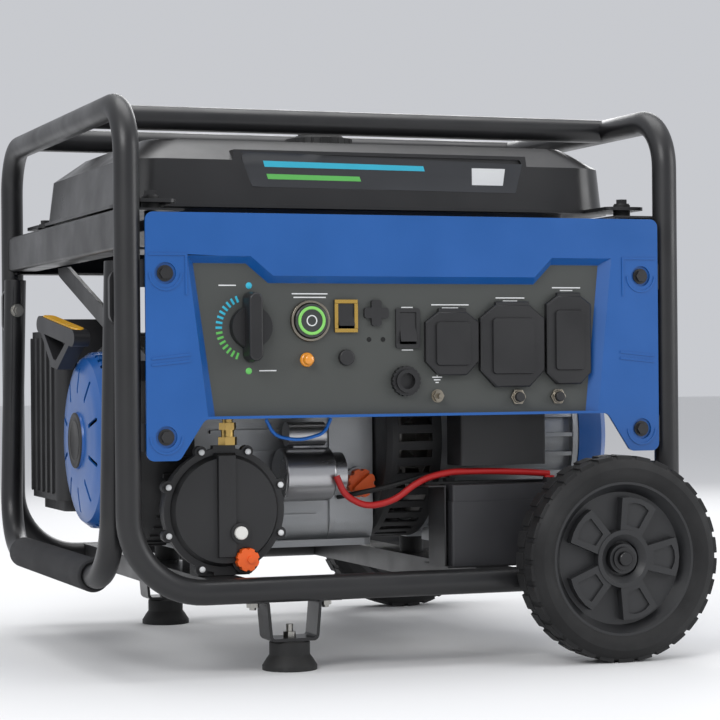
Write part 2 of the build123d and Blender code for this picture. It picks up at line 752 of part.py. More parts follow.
# A rocker is a prism with a V-shaped face, pivoting on an axis along X; it rests with its top pressed in.
rocker_tilt = radians(9)
for word, place, wide, high in (("engine", switch_at, 18.4, 27.0), ("voltage", voltage_at, 19.4, 35.0)):
    pivot = Plane(origin=(place[0] - wide / 2, control_y + 4, place[1]),
                  x_dir=(0, cos(rocker_tilt), -sin(rocker_tilt)), z_dir=(1, 0, 0))
    with BuildPart() as rocker:
        with BuildSketch(pivot):
            with BuildLine():
                Polyline((-8.5, -high / 2 + 1), (-6, 0), (-8.5, high / 2 - 1), (6, 5), (6, -5), close=True)
            make_face()
        extrude(amount=wide)
        with BuildSketch(side(place[0] - wide / 2 - 0.2)):
            with Locations((control_y + 4, place[1])):
                Circle(1.5)
        extrude(amount=wide + 0.4)
    rocker.part.label = word + "_rocker"
    export_step(rocker.part, "parts/" + word + "_rocker.step")

with BuildPart() as warning_lamp:
    with BuildSketch(front(control_y + 10)):
        with Locations(lamp_at):
            Circle(6)
    extrude(amount=10)
    with BuildSketch(front(control_y)):
        with Locations(lamp_at):
            Circle(8)
    extrude(amount=4)
    fillet(warning_lamp.faces().sort_by(Axis.Y)[0].edges(), radius=3.2)

with BuildPart() as reset_button:
    with BuildSketch(front(control_y + 12)):
        with Locations(reset_at):
            Circle(reset_r)
    extrude(amount=18)
    fillet(reset_button.faces().sort_by(Axis.Y)[0].edges(), radius=2)
reset_button.part.label = "reset_button"
export_step(reset_button.part, "parts/reset_button.step")

with BuildPart() as auxiliary_socket:
    with BuildSketch(front(control_y)):
        with Locations(socket_at):
            Circle(17)
            with PolarLocations(17.5, 20):
                Circle(1.4, mode=Mode.SUBTRACT)
    extrude(amount=7)
    with BuildSketch(front(control_y - 7)):
        with Locations(socket_at):
            Circle(13)
    extrude(amount=3)
    with BuildSketch(front(control_y - 10)):
        with Locations(socket_at):
            Circle(9)
    extrude(amount=-7, mode=Mode.SUBTRACT)

with BuildPart() as ground_terminal:
    for depth, thick, r, is_hex in ((0, 1.2, 7.5, False), (1.2, 4.5, 6.5, True), (5.7, 7, 3, False)):
        with BuildSketch(front(control_y - depth)):
            with Locations(ground_at):
                if is_hex:
                    RegularPolygon(r, 6)
                else:
                    Circle(r)
        extrude(amount=thick)

for word, place in (("left", breaker_left_at), ("right", breaker_right_at)):
    with BuildPart() as breaker_button:
        with BuildSketch(front(control_y + 12)):
            with Locations(place):
                Circle(breaker_r)
        extrude(amount=22)
        fillet(breaker_button.faces().sort_by(Axis.Y)[0].edges(), radius=1.2)
    breaker_button.part.label = "breaker_button_" + word
    export_step(breaker_button.part, "parts/breaker_button_" + word + ".step")

# Outlet bodies sit in the plate: a face with slots, and a body behind it.
with BuildPart() as outlet_bodies:
    for place, wide, high in outlets.values():
        with BuildSketch(front(control_y + 20)):
            with Locations(place):
                Rectangle(wide - 16, high - 22)
        extrude(amount=20)
    for z in (outlets["right"][0][1] + 22, outlets["right"][0][1] - 22):
        x = outlets["right"][0][0]
        with BuildSketch(front(control_y)):
            with Locations((x - 7, z), (x + 7, z)):
                Rectangle(2.2, 9)
            with Locations((x, z - 11)):
                Circle(2.6)
        extrude(amount=-14, mode=Mode.SUBTRACT)
    for name, r in (("left", 14), ("middle", 17)):
        with BuildSketch(front(control_y)):
            with Locations(outlets[name][0]):
                with PolarLocations(r, 4, start_angle=45):
                    Rectangle(3, 10)
        extrude(amount=-14, mode=Mode.SUBTRACT)
outlet_bodies.part.label = "outlet_bodies"
export_step(outlet_bodies.part, "parts/outlet_bodies.step")

# Hinged weather covers with cut corners, each with a barrel along its top edge.
cover_gap = 0.4
cover_t = 8.0
barrel_r = 3.2
barrel_y = control_y - 4.5
for word, (place, wide, high) in outlets.items():
    x, z = place
    top = z + high / 2
    cut = wide * 0.24
    with BuildPart() as outlet_cover:
        with BuildSketch(front(control_y - cover_gap)):
            with BuildLine():
                Polyline((x - wide / 2 + cut, top - 4), (x + wide / 2 - cut, top - 4), (x + wide / 2, top - cut),
                         (x + wide / 2, top - high + cut), (x + wide / 2 - cut, top - high),
                         (x - wide / 2 + cut, top - high), (x - wide / 2, top - high + cut),
                         (x - wide / 2, top - cut), close=True)
            make_face()
        extrude(amount=cover_t)
        chamfer(outlet_cover.faces().sort_by(Axis.Y)[0].edges(), length=1.5)
        with BuildSketch(front(control_y - cover_gap - cover_t)):
            with Locations((x, z - 2)):
                RectangleRounded(wide * 0.66, high * 0.66, 5)
        extrude(amount=2.5, taper=20)
        with BuildSketch(side(x - wide / 2 + cut)):
            with Locations((barrel_y, top - 3.2)):
                Circle(barrel_r)
        extrude(amount=wide - 2 * cut)
    outlet_cover.part.label = "outlet_cover_" + word
    export_step(outlet_cover.part, "parts/outlet_cover_" + word + ".step")

# ================================================================ ENGINE
shroud_left_x = -300.0
shroud_right_x = -222.0
case_left_x = -214.0
case_right_x = 12.0
case_front_y = -150.0
case_rear_y = 16.0
case_low_z = 128.0
case_top_z = 338.0
shaft_r = 15.0
shaft_left_x = -272.0
shaft_right_x = 288.0
flywheel_r = 92.0
cylinder_tilt = radians(22)
crank_axis = Axis((0, crank_y, crank_z), (1, 0, 0))


def on_crank(x):
    """Plane across the crankshaft at this x, centred on it; sketch x is Y and sketch y is Z."""
    return Plane(origin=(x, crank_y, crank_z), x_dir=(0, 1, 0), z_dir=(1, 0, 0))


with BuildPart() as engine_crankcase:
    with BuildSketch(side(case_left_x)):
        with Locations(((case_front_y + case_rear_y) / 2, (case_low_z + case_top_z) / 2)):
            RectangleRounded(case_rear_y - case_front_y, case_top_z - case_low_z, 30)
    extrude(amount=case_right_x - case_left_x)
    # base flange, side-cover rim, ribs on the front wall and the boss of the oil filler
    with BuildSketch(level(case_low_z)):
        with Locations(((case_left_x + case_right_x) / 2 - 4, (case_front_y + case_rear_y) / 2)):
            RectangleRounded(case_right_x - case_left_x + 8, case_rear_y - case_front_y, 12)
    extrude(amount=8)
    with BuildSketch(side(-44)):
        with Locations(((case_front_y + case_rear_y) / 2, (case_low_z + case_top_z) / 2)):
            RectangleRounded(case_rear_y - case_front_y + 8, case_top_z - case_low_z, 34)
    extrude(amount=7)
    for z in (165, 190, 240, 265, 290):
        with BuildSketch(front(case_front_y + 4)):
            with Locations((-125, z)):
                Rectangle(130, 4)
        extrude(amount=8)
    with BuildSketch(front(case_front_y + 4)):
        with Locations((-8, 202)):
            Circle(19)
    extrude(amount=12)
    # crank chamber and its two bearing bores
    with BuildSketch(on_crank(case_left_x + 20)):
        Circle(64)
    extrude(amount=case_right_x - case_left_x - 40, mode=Mode.SUBTRACT)
    with BuildSketch(on_crank(case_left_x - 1)):
        Circle(30)
    extrude(amount=case_right_x - case_left_x + 2, mode=Mode.SUBTRACT)
engine_crankcase.part.label = "engine_crankcase"
export_step(engine_crankcase.part, "parts/engine_crankcase.step")

barrel_base = case_rear_y - crank_y - 4
barrel_plane = Plane(origin=(-110, crank_y, crank_z + 20), x_dir=(1, 0, 0), z_dir=(0, cos(cylinder_tilt), sin(cylinder_tilt)))
fin_count = 11
fin_pitch = 9.0
with BuildPart() as engine_cylinder:
    with BuildSketch(barrel_plane.offset(barrel_base + 12)):
        RectangleRounded(96, 92, 20)
    extrude(amount=fin_count * fin_pitch + 8)
    for i in range(fin_count):
        with BuildSketch(barrel_plane.offset(barrel_base + 16 + i * fin_pitch)):
            RectangleRounded(132, 124, 16)
        extrude(amount=3)
    with BuildSketch(side(-160)):
        with Locations((case_rear_y + 8, 296)):
            Rectangle(16, 84)
    extrude(amount=100)
    with BuildSketch(side(-170)):
        with Locations((case_rear_y - 20, 296)):
            Rectangle(40, 120)
    extrude(amount=120, mode=Mode.SUBTRACT)

head_offset = barrel_base + 12 + fin_count * fin_pitch + 8
with BuildPart() as valve_cover:
    with BuildSketch(barrel_plane.offset(head_offset)):
        RectangleRounded(112, 100, 16)
    extrude(amount=8)
    with BuildSketch(barrel_plane.offset(head_offset + 8)):
        RectangleRounded(92, 80, 14)
    extrude(amount=20, taper=8)
    with BuildSketch(barrel_plane.offset(head_offset + 8)):
        with GridLocations(98, 84, 2, 2):
            RegularPolygon(5.5, 6)
    extrude(amount=5)


# Fan shroud: a turned shell round the flywheel, open towards the crankcase.
wall = 3.0
rope_y = -34.0
rope_z = 345.0
with BuildPart() as fan_shroud:
    with BuildSketch(side(recoil_x - 2), mode=Mode.PRIVATE) as rope_hole:
        with Locations((rope_y, rope_z)):
            Circle(5)
    with BuildSketch(Plane(origin=(0, crank_y, crank_z), x_dir=(1, 0, 0), z_dir=(0, -1, 0))):
        Polygon((shroud_right_x, shroud_r), (-262, shroud_r), (-286, shroud_r - 6), (shroud_left_x, shroud_r - 18),
                (shroud_left_x, 84), (shroud_left_x + wall, 84), (shroud_left_x + wall, shroud_r - 20),
                (-285, shroud_r - 9), (-261, shroud_r - wall), (shroud_right_x, shroud_r - wall), align=None)
    revolve(axis=crank_axis)
    # flange against the crankcase
    with BuildSketch(on_crank(shroud_right_x - 3)):
        Circle(shroud_r)
        Circle(100, mode=Mode.SUBTRACT)
    extrude(amount=3)
    # stiffening ribs round the rim
    with BuildSketch(on_crank(-258)):
        with PolarLocations(shroud_r + 0.5, 40):
            Rectangle(3.5, 5)
    extrude(amount=30)
    extrude(rope_hole.sketch, amount=60, mode=Mode.SUBTRACT)
fan_shroud.part.label = "fan_shroud"
export_step(fan_shroud.part, "parts/fan_shroud.step")

# Recoil cover: domed, with slots round the rim and a round plate in the middle.
with BuildPart() as recoil_cover:
    with BuildSketch(Plane(origin=(0, crank_y, crank_z), x_dir=(1, 0, 0), z_dir=(0, -1, 0))):
        Polygon((shroud_left_x, 104), (-312, 103), (-321, 96), (-326, 82), (-328.5, 60), (-328.5, 34), (recoil_x, 33),
                (recoil_x, 0), (-326, 0), (-326, 60), (-323.5, 80), (-318.5, 93), (-311, 100), (shroud_left_x, 101),
                align=None)
    revolve(axis=crank_axis)
    with BuildSketch(on_crank(-322)):
        with PolarLocations(70, 10, start_angle=18):
            SlotOverall(30, 5)
    extrude(amount=-10, mode=Mode.SUBTRACT)
    with BuildSketch(on_crank(-303)):
        with PolarLocations(102, 44):
            Rectangle(12, 6)
    extrude(amount=-11, mode=Mode.SUBTRACT)
    extrude(rope_hole.sketch, amount=60, mode=Mode.SUBTRACT)
recoil_cover.part.label = "recoil_cover"
export_step(recoil_cover.part, "parts/recoil_cover.step")

# Recoil handle: a slanted bar with two arms that meet at the rope, and the first length of rope.
rope_r = 2.5
grip_back = Vector(-344, 30, 396)
grip_fore = Vector(-327, -96, 374)
grip_mid = (grip_back + grip_fore) * 0.5
grip_along = (grip_fore - grip_back).normalized()
grip_out = grip_along.cross(Vector(0, 0, 1)).normalized()
grip_plane = Plane(origin=grip_mid - grip_out * 10, x_dir=grip_along, z_dir=grip_out)
with BuildPart() as recoil_grip:
    with BuildSketch(grip_plane):
        SlotOverall(128, 20)
        with BuildLine():
            Polyline((-58, 0), (58, 0), (14, -44), (-6, -44), close=True)
        make_face()
        with BuildLine():
            Polyline((-36, -9), (36, -9), (8, -34), (0, -34), close=True)
        make_face(mode=Mode.SUBTRACT)
    extrude(amount=20)
    with BuildSketch(side(-332)):
        with Locations((rope_y, rope_z)):
            Circle(rope_r)
    extrude(amount=92)
recoil_grip.part.label = "recoil_grip"
export_step(recoil_grip.part, "parts/recoil_grip.step")

# Rotating group: crankshaft with webs and flywheel fan, and the alternator rotor with its own fan.
with BuildPart() as crankshaft:
    with BuildSketch(on_crank(shaft_left_x)):
        Circle(shaft_r)
    extrude(amount=shaft_right_x - shaft_left_x)
    for x in (-150, -100):
        with BuildSketch(on_crank(x)):
            Circle(52)
            with Locations((0, 40)):
                Rectangle(120, 30, mode=Mode.SUBTRACT)
        extrude(amount=18)
    with BuildSketch(on_crank(-250)):
        Circle(flywheel_r)
    extrude(amount=20)
    with BuildSketch(on_crank(-272)):
        with PolarLocations(70, 12):
            Rectangle(36, 3.5)
    extrude(amount=22)
crankshaft.part.label = "crankshaft"
export_step(crankshaft.part, "parts/crankshaft.step")

rotor_left_x = 92.0
rotor_right_x = 226.0
with BuildPart() as alternator_rotor:
    with BuildSketch(on_crank(rotor_left_x)):
        Circle(58)
        Circle(shaft_r, mode=Mode.SUBTRACT)
        with Locations((0, 62), (0, -62)):
            Rectangle(46, 40, mode=Mode.SUBTRACT)
    extrude(amount=rotor_right_x - rotor_left_x)
    with BuildSketch(on_crank(36)):
        Circle(101)
        Circle(shaft_r, mode=Mode.SUBTRACT)
    extrude(amount=4)
    with BuildSketch(on_crank(38)):
        Circle(32)
        Circle(shaft_r, mode=Mode.SUBTRACT)
    extrude(amount=24)
    with BuildSketch(on_crank(38)):
        with PolarLocations(70, 11):
            Rectangle(50, 3)
    extrude(amount=24)
    with BuildSketch(on_crank(244)):
        Circle(24)
        Circle(shaft_r, mode=Mode.SUBTRACT)
    extrude(amount=16)
alternator_rotor.part.label = "alternator_rotor"
export_step(alternator_rotor.part, "parts/alternator_rotor.step")

with BuildPart() as shaft_bearings:
    for x in (case_left_x, case_right_x - 16, 270):
        with BuildSketch(on_crank(x)):
            Circle(30)
            Circle(shaft_r + shaft_gap, mode=Mode.SUBTRACT)
        extrude(amount=15)
shaft_bearings.part.label = "shaft_bearings"
export_step(shaft_bearings.part, "parts/shaft_bearings.step")

with BuildPart() as starter_motor:
    with BuildSketch(side(-118)):
        with Locations((-188, 215)):
            Circle(31)
    extrude(amount=62)
    fillet(starter_motor.edges().filter_by(GeomType.CIRCLE), radius=4)
    with BuildSketch(side(-56)):
        with Locations((-188, 215)):
            Circle(25)
    extrude(amount=14)
    with BuildSketch(side(-108)):
        with Locations((-184, 262)):
            Circle(14)
    extrude(amount=46)
    with BuildSketch(side(-98)):
        with Locations((-172, 236)):
            Rectangle(20, 36)
    extrude(amount=20)
    with BuildSketch(front(-152)):
        with Locations((-86, 215)):
            Rectangle(40, 40)
    extrude(amount=14)
starter_motor.part.label = "starter_motor"
export_step(starter_motor.part, "parts/starter_motor.step")

with BuildPart() as oil_cap:
    with BuildSketch(front(-158)):
        with Locations((-8, 202)):
            Circle(17)
            with PolarLocations(17.5, 8):
                Circle(3, mode=Mode.SUBTRACT)
    extrude(amount=10)
    with BuildSketch(front(-168)):
        with Locations((-8, 202)):
            SlotOverall(30, 9, rotation=40)
    extrude(amount=9)

# Air cleaner at the rear left: ribbed case with a lower step and two clips; the carburettor behind it.
with BuildPart() as air_cleaner:
    with BuildSketch(level(176)):
        with Locations((-262, 170)):
            RectangleRounded(104, 158, 16)
    extrude(amount=212)
    with BuildSketch(level(162)):
        with Locations((-258, 168)):
            RectangleRounded(88, 130, 12)
    extrude(amount=16)
    with BuildSketch(level(388)):
        with Locations((-264, 158)):
            RectangleRounded(94, 126, 14)
    extrude(amount=14)
    for y in (118, 146, 174, 202, 230):
        with BuildSketch(side(-317)):
            with Locations((y, 282)):
                RectangleRounded(9, 196, 3)
        extrude(amount=5)
    for x in (-290, -262, -234):
        with BuildSketch(front(252)):
            with Locations((x, 282)):
                RectangleRounded(9, 196, 3)
        extrude(amount=5)
air_cleaner.part.label = "air_cleaner"
export_step(air_cleaner.part, "parts/air_cleaner.step")

with BuildPart() as carburettor:
    with BuildSketch(side(-210)):
        with Locations((118, 318)):
            Circle(17)
    extrude(amount=34)
    with BuildSketch(side(-206)):
        with Locations((118, 306)):
            Rectangle(44, 40)
    extrude(amount=24)
    with BuildSketch(level(262)):
        with Locations((-191.5, 118)):
            Circle(17)
    extrude(amount=26)
carburettor.part.label = "carburettor"
export_step(carburettor.part, "parts/carburettor.step")

# Muffler: a pressed drum at the rear right with its exhaust pipe and an outlet.
muffler_y = 152.0
muffler_z = 246.0
with BuildPart() as muffler:
    with BuildSketch(side(16)):
        with Locations((muffler_y, muffler_z)):
            Ellipse(74, 84)
    extrude(amount=218)
    fillet(muffler.edges(), radius=12)
    with BuildSketch(side(122)):
        with Locations((muffler_y, muffler_z)):
            Ellipse(78, 88)
    extrude(amount=6)
    with BuildSketch(side(20)):
        with Locations((muffler_y, muffler_z)):
            Ellipse(70, 80)
    extrude(amount=210, mode=Mode.SUBTRACT)
    with BuildSketch(side(232)):
        with Locations((muffler_y + 20, muffler_z + 30)):
            Circle(15)
    extrude(amount=34)
    with BuildSketch(side(226)):
        with Locations((muffler_y + 20, muffler_z + 30)):
            Circle(12)
    extrude(amount=44, mode=Mode.SUBTRACT)

with BuildPart() as exhaust_pipe:
    with BuildLine():
        FilletPolyline((-43.5, 92, 322), (-14, 92, 322), (-14, 140, 278), (17, 140, 278), radius=12)
    with BuildSketch(side(-43.5)):
        with Locations((92, 322)):
            Circle(14)
            Circle(11.5, mode=Mode.SUBTRACT)
    sweep(transition=Transition.RIGHT)

export_group("muffler", [muffler.part, exhaust_pipe.part])
export_group("engine_cylinder", [engine_cylinder.part, valve_cover.part])

# Spark plug boot on top of the head, with the start of its lead.
boot_at = (-110, 83.4, 407.3)
boot_way = (0, -sin(cylinder_tilt), cos(cylinder_tilt))
with BuildPart() as spark_plug_cap:
    with BuildSketch(Plane(origin=boot_at, x_dir=(1, 0, 0), z_dir=boot_way)):
        Circle(9)
    extrude(amount=28)
    fillet(spark_plug_cap.faces().sort_by(Axis.Z)[-1].edges(), radius=4)
    with BuildLine():
        FilletPolyline((-110, 75, 428), (-140, 68, 432), (-190, 20, 410), (-205, -10, 390), (-205, -20, 376), radius=12)
    with BuildSketch(Plane(origin=(-110, 75, 428), z_dir=(-30, -7, 4))):
        Circle(3.5)
    sweep()
spark_plug_cap.part.label = "spark_plug_cap"
export_step(spark_plug_cap.part, "parts/spark_plug_cap.step")

# ================================================================ ALTERNATOR
bell_left_x = 14.0
bell_right_x = 82.0
bell_r = 124.0
housing_right_x = 262.0
stator_r = 104.0
with BuildPart() as alternator_bell:
    with BuildSketch(Plane(origin=(0, crank_y, crank_z), x_dir=(1, 0, 0), z_dir=(0, -1, 0))):
        Polygon((bell_left_x, 20), (bell_left_x, bell_r - 6), (bell_left_x + 6, bell_r), (bell_right_x, bell_r),
                (bell_right_x, bell_r - wall), (bell_left_x + 7, bell_r - wall), (bell_left_x + 4, bell_r - 8),
                (bell_left_x + 4, 20), align=None)
    revolve(axis=crank_axis)
    with BuildSketch(on_crank(bell_left_x + 14)):
        with PolarLocations(bell_r, 40):
            Rectangle(20, 9)
    extrude(amount=42, mode=Mode.SUBTRACT)
    with BuildSketch(on_crank(bell_right_x - 4)):
        Circle(bell_r)
        Circle(stator_r + 2, mode=Mode.SUBTRACT)
    extrude(amount=4)
alternator_bell.part.label = "alternator_bell"
export_step(alternator_bell.part, "parts/alternator_bell.step")

# Ribbed aluminium housing with a foot on each side over the cross-member.
with BuildPart() as alternator_housing:
    with BuildSketch(on_crank(bell_right_x)):
        Circle(stator_r + 8)
        with PolarLocations(stator_r + 9, 32):
            Rectangle(14, 5)
        Circle(stator_r, mode=Mode.SUBTRACT)
    extrude(amount=housing_right_x - bell_right_x)
    for x in (bell_right_x, housing_right_x - 8):
        with BuildSketch(on_crank(x)):
            Circle(stator_r + 17)
            Circle(stator_r, mode=Mode.SUBTRACT)
        extrude(amount=8)
    with BuildSketch(side(cross_right_x - 18)):
        with Locations((crank_y - 55, 145), (crank_y + 55, 145)):
            Rectangle(60, 34)
        with Locations((crank_y, crank_z)):
            Circle(stator_r + 4, mode=Mode.SUBTRACT)
    extrude(amount=36)
alternator_housing.part.label = "alternator_housing"
export_step(alternator_housing.part, "parts/alternator_housing.step")

with BuildPart() as alternator_stator:
    with BuildSketch(on_crank(rotor_left_x + 4)):
        Circle(stator_r)
        Circle(59.5, mode=Mode.SUBTRACT)
        with PolarLocations(67, 24):
            SlotOverall(18, 5, mode=Mode.SUBTRACT)
    extrude(amount=rotor_right_x - rotor_left_x - 8)
alternator_stator.part.label = "alternator_stator"
export_step(alternator_stator.part, "parts/alternator_stator.step")

with BuildPart() as alternator_end_cover:
    with BuildSketch(Plane(origin=(0, crank_y, crank_z), x_dir=(1, 0, 0), z_dir=(0, -1, 0))):
        Polygon((housing_right_x, stator_r + 18), (housing_right_x + 30, stator_r + 18), (housing_right_x + 41, stator_r + 6),
                (housing_right_x + 41, 0), (housing_right_x + 38, 0), (housing_right_x + 38, stator_r + 4),
                (housing_right_x + 29, stator_r + 14), (housing_right_x, stator_r + 14), align=None)
    revolve(axis=crank_axis)
    # bearing carrier, air slots in the end face
    with BuildSketch(on_crank(269)):
        Circle(36)
        Circle(30, mode=Mode.SUBTRACT)
    extrude(amount=housing_right_x + 39 - 269)
    with BuildSketch(on_crank(housing_right_x + 36)):
        with PolarLocations(78, 20):
            SlotOverall(44, 6, mode=Mode.ADD)
    extrude(amount=8, mode=Mode.SUBTRACT)
alternator_end_cover.part.label = "alternator_end_cover"
export_step(alternator_end_cover.part, "parts/alternator_end_cover.step")

# ================================================================ RUBBER MOUNTS OF THE ENGINE
with BuildPart() as engine_mounts:
    for x, y in ((-202, -128), (-202, -6), (cross_right_x, crank_y - 55), (cross_right_x, crank_y + 55)):
        with BuildSketch(level(cross_top_z)):
            with Locations((x, y)):
                Circle(15)
        extrude(amount=case_low_z - cross_top_z)

# ================================================================ GAS REGULATOR
regulator_at = (-204.5, 180.5)
regulator_r = 70.0
regulator_front_y = -268.0
gas_button_at = (-190.0, 155.5)
gas_button_r = 7.5
gas_cap_at = (-182.0, 125.5)
with BuildPart() as regulator_body:
    with BuildSketch(front(-216)):
        with Locations(regulator_at):
            Circle(regulator_r - 6)
    extrude(amount=34, taper=-4)
    with BuildSketch(front(-246)):
        with Locations(regulator_at):
            Circle(regulator_r)
            with PolarLocations(regulator_r + 0.5, 8, start_angle=22.5):
                Circle(7)
            Rectangle(26, 2 * regulator_r + 5)
    extrude(amount=6)
    with BuildSketch(front(-218)):
        with Locations((-204.5, 122)):
            Rectangle(60, 29)
    extrude(amount=34)
    extrude(rail_section.sketch, amount=2 * post_x, mode=Mode.SUBTRACT)
regulator_body.part.label = "regulator_body"
export_step(regulator_body.part, "parts/regulator_body.step")

with BuildPart() as regulator_cover:
    with BuildSketch(front(-252)):
        with Locations(regulator_at):
            Circle(regulator_r)
            with PolarLocations(regulator_r + 0.5, 8, start_angle=22.5):
                Circle(7)
            Rectangle(26, 2 * regulator_r + 5)
    extrude(amount=4)
    with BuildSketch(front(-256)):
        with Locations(regulator_at):
            Circle(regulator_r - 7)
    extrude(amount=8, taper=28)
    with BuildSketch(front(-256)):
        with Locations((regulator_at[0], regulator_at[1] + 5)):
            Rectangle(25, 118)
    extrude(amount=12, taper=12)
    with BuildSketch(front(-256)):
        with Locations(gas_cap_at):
            Circle(16)
    extrude(amount=6)
    with BuildSketch(front(-270)):
        with Locations(gas_button_at):
            Circle(11)
    extrude(amount=-14)
    for place, r in ((gas_button_at, gas_button_r + shaft_gap), (gas_cap_at, 9.3)):
        with BuildSketch(front(-272)):
            with Locations(place):
                Circle(r)
        extrude(amount=-19.5, mode=Mode.SUBTRACT)
    with BuildSketch(front(-262)):
        with Locations(gas_cap_at):
            Circle(14)
    extrude(amount=14, mode=Mode.SUBTRACT)

with BuildPart() as regulator_screws:
    with BuildSketch(front(-256)):
        with Locations(regulator_at):
            # seven screws; the eighth lug is under the boss of the cap
            with PolarLocations(regulator_r + 0.5, 7, start_angle=-22.5, angular_range=270, endpoint=True):
                Circle(4)
    extrude(amount=2.6)
    fillet(regulator_screws.faces().group_by(Axis.Y)[0].edges(), radius=1)
export_group("regulator_cover", [regulator_cover.part, regulator_screws.part])

with BuildPart() as regulator_button:
    with BuildSketch(front(-261)):
        with Locations(gas_button_at):
            Circle(gas_button_r)
    extrude(amount=13)
    fillet(regulator_button.faces().sort_by(Axis.Y)[0].edges(), radius=1.5)
regulator_button.part.label = "regulator_button"
export_step(regulator_button.part, "parts/regulator_button.step")

with BuildPart() as regulator_cap:
    with BuildSketch(front(-262)):
        with Locations(gas_cap_at):
            Circle(13)
            with PolarLocations(13.5, 8):
                Circle(2.2, mode=Mode.SUBTRACT)
    extrude(amount=10)
    with BuildSketch(front(-260)):
        with Locations(gas_cap_at):
            Circle(9)
    extrude(amount=4)
    with BuildSketch(front(-272)):
        with Locations((gas_cap_at[0] + 3, gas_cap_at[1])):
            Circle(4)
    extrude(amount=2)

with BuildPart() as gas_fitting:
    for z, thick, r, is_hex in ((regulator_at[1] + regulator_r + 2.5, 9, 11, True), (262, 8, 7.5, False),
                                (270, 8, 10, True), (278, 4, 6, False)):
        with BuildSketch(level(z)):
            with Locations((-197, -245)):
                if is_hex:
                    RegularPolygon(r, 6)
                else:
                    Circle(r)
        extrude(amount=thick)
gas_fitting.part.label = "gas_fitting"
export_step(gas_fitting.part, "parts/gas_fitting.step")

# ================================================================ BATTERY AND LEADS
battery_low_x = 64.0
battery_high_x = 214.0
battery_front_y = -272.0
battery_back_y = -196.0
battery_low_z = 109.0
battery_top_z = 202.0
battery_mid = ((battery_low_x + battery_high_x) / 2, (battery_front_y + battery_back_y) / 2)
post_left = (battery_low_x + 20, battery_back_y - 18)
post_right = (battery_high_x - 20, battery_front_y + 16)
with BuildPart() as battery:
    with BuildSketch(level(battery_low_z)):
        with Locations(battery_mid):
            RectangleRounded(battery_high_x - battery_low_x, battery_back_y - battery_front_y, 3)
    extrude(amount=74)
    with BuildSketch(level(battery_low_z + 74)):
        with Locations(battery_mid):
            RectangleRounded(battery_high_x - battery_low_x - 3, battery_back_y - battery_front_y - 3, 3)
    extrude(amount=battery_top_z - battery_low_z - 74)
    with BuildSketch(level(battery_top_z)):
        with Locations(post_left, post_right):
            Rectangle(11, 11)
    extrude(amount=6)
battery.part.label = "battery"
export_step(battery.part, "parts/battery.step")

# Tray on the cross-member, two uprights and a clamp bar over the battery.
bar_y = -234.0
with BuildPart() as battery_bracket:
    with BuildSketch(level(cross_top_z)):
        with Locations(battery_mid):
            Rectangle(battery_high_x - battery_low_x + 12, battery_back_y - battery_front_y)
    extrude(amount=battery_low_z - cross_top_z)
    for x in (battery_low_x - 6, battery_high_x + 4):
        with BuildSketch(side(x)):
            with Locations((battery_mid[1] - 4, (battery_low_z + battery_top_z) / 2 - 1)):
                Rectangle(50, battery_top_z - battery_low_z + 2)
        extrude(amount=2)
    with BuildSketch(level(battery_top_z)):
        with Locations((battery_low_x - 15, battery_mid[1] - 4)):
            Rectangle(22, 50)
    extrude(amount=-2)
    with BuildSketch(level(battery_top_z)):
        with Locations((battery_mid[0] - 4, bar_y)):
            Rectangle(battery_high_x - battery_low_x + 34, 14)
    extrude(amount=3)
    for x in (battery_low_x - 14, battery_high_x + 6):
        with BuildSketch(level(battery_top_z + 3)):
            with Locations((x, bar_y)):
                RegularPolygon(6, 6)
        extrude(amount=4)
battery_bracket.part.label = "battery_bracket"
export_step(battery_bracket.part, "parts/battery_bracket.step")


def cord_radii(points):
    """Largest comfortable arc at each corner of a lead: 0.45 of its shorter run over tan(half the turn)."""
    radii = []
    for a, b, c in zip(points, points[1:], points[2:]):
        before = Vector(*b) - Vector(*a)
        after = Vector(*c) - Vector(*b)
        turn = radians(before.get_angle(after))
        radii.append(0.45 * min(before.length, after.length) / tan(turn / 2))
    return radii


def start_plane(points):
    return Plane(origin=points[0], z_dir=Vector(*points[1]) - Vector(*points[0]))


# Routes of the leads the machine holds: (name, points, radius)
red_lead = [(-60, -224, 214), (-52, -228, 192), (-28, -234, 178), (4, -240, 184), (34, -247, 208), (68, -251, 217),
            (112, -253, 217), (160, -255, 215), (194, -256, 212.2)]
black_lead = [(-34, -156, 186), (-24, -180, 190), (6, -196, 197), (36, -208, 206), (60, -214, 213), (84, -214, 211.4)]
wire_loop = [(-150, -240, 281), (-140, -240, 262), (-110, -240, 256), (-80, -240, 264), (-72, -240, 281)]
red_lead_r = 3.8
black_lead_r = 3.0
wire_r = 2.0

with BuildPart() as battery_cable_red:
    with BuildLine():
        FilletPolyline(*red_lead, radius=cord_radii(red_lead))
    with BuildSketch(start_plane(red_lead)):
        Circle(red_lead_r)
    sweep()
    with BuildSketch(level(battery_top_z + 6.2)):
        with Locations(post_right):
            Circle(6.5)
    extrude(amount=2)
battery_cable_red.part.label = "battery_cable_red"
export_step(battery_cable_red.part, "parts/battery_cable_red.step")

with BuildPart() as battery_cable_black:
    with BuildLine():
        FilletPolyline(*black_lead, radius=cord_radii(black_lead))
    with BuildSketch(start_plane(black_lead)):
        Circle(black_lead_r)
    sweep()

with BuildPart() as wire_harness:
    with BuildLine():
        FilletPolyline(*wire_loop, radius=cord_radii(wire_loop))
    with BuildSketch(start_plane(wire_loop)):
        Circle(wire_r)
    sweep()

for word, route, r in (("red", red_lead, red_lead_r), ("black", black_lead, black_lead_r), ("wires", wire_loop, wire_r)):
    print(word, "diameter", 2 * r, "bend radii", [round(value, 1) for value in cord_radii(route)])

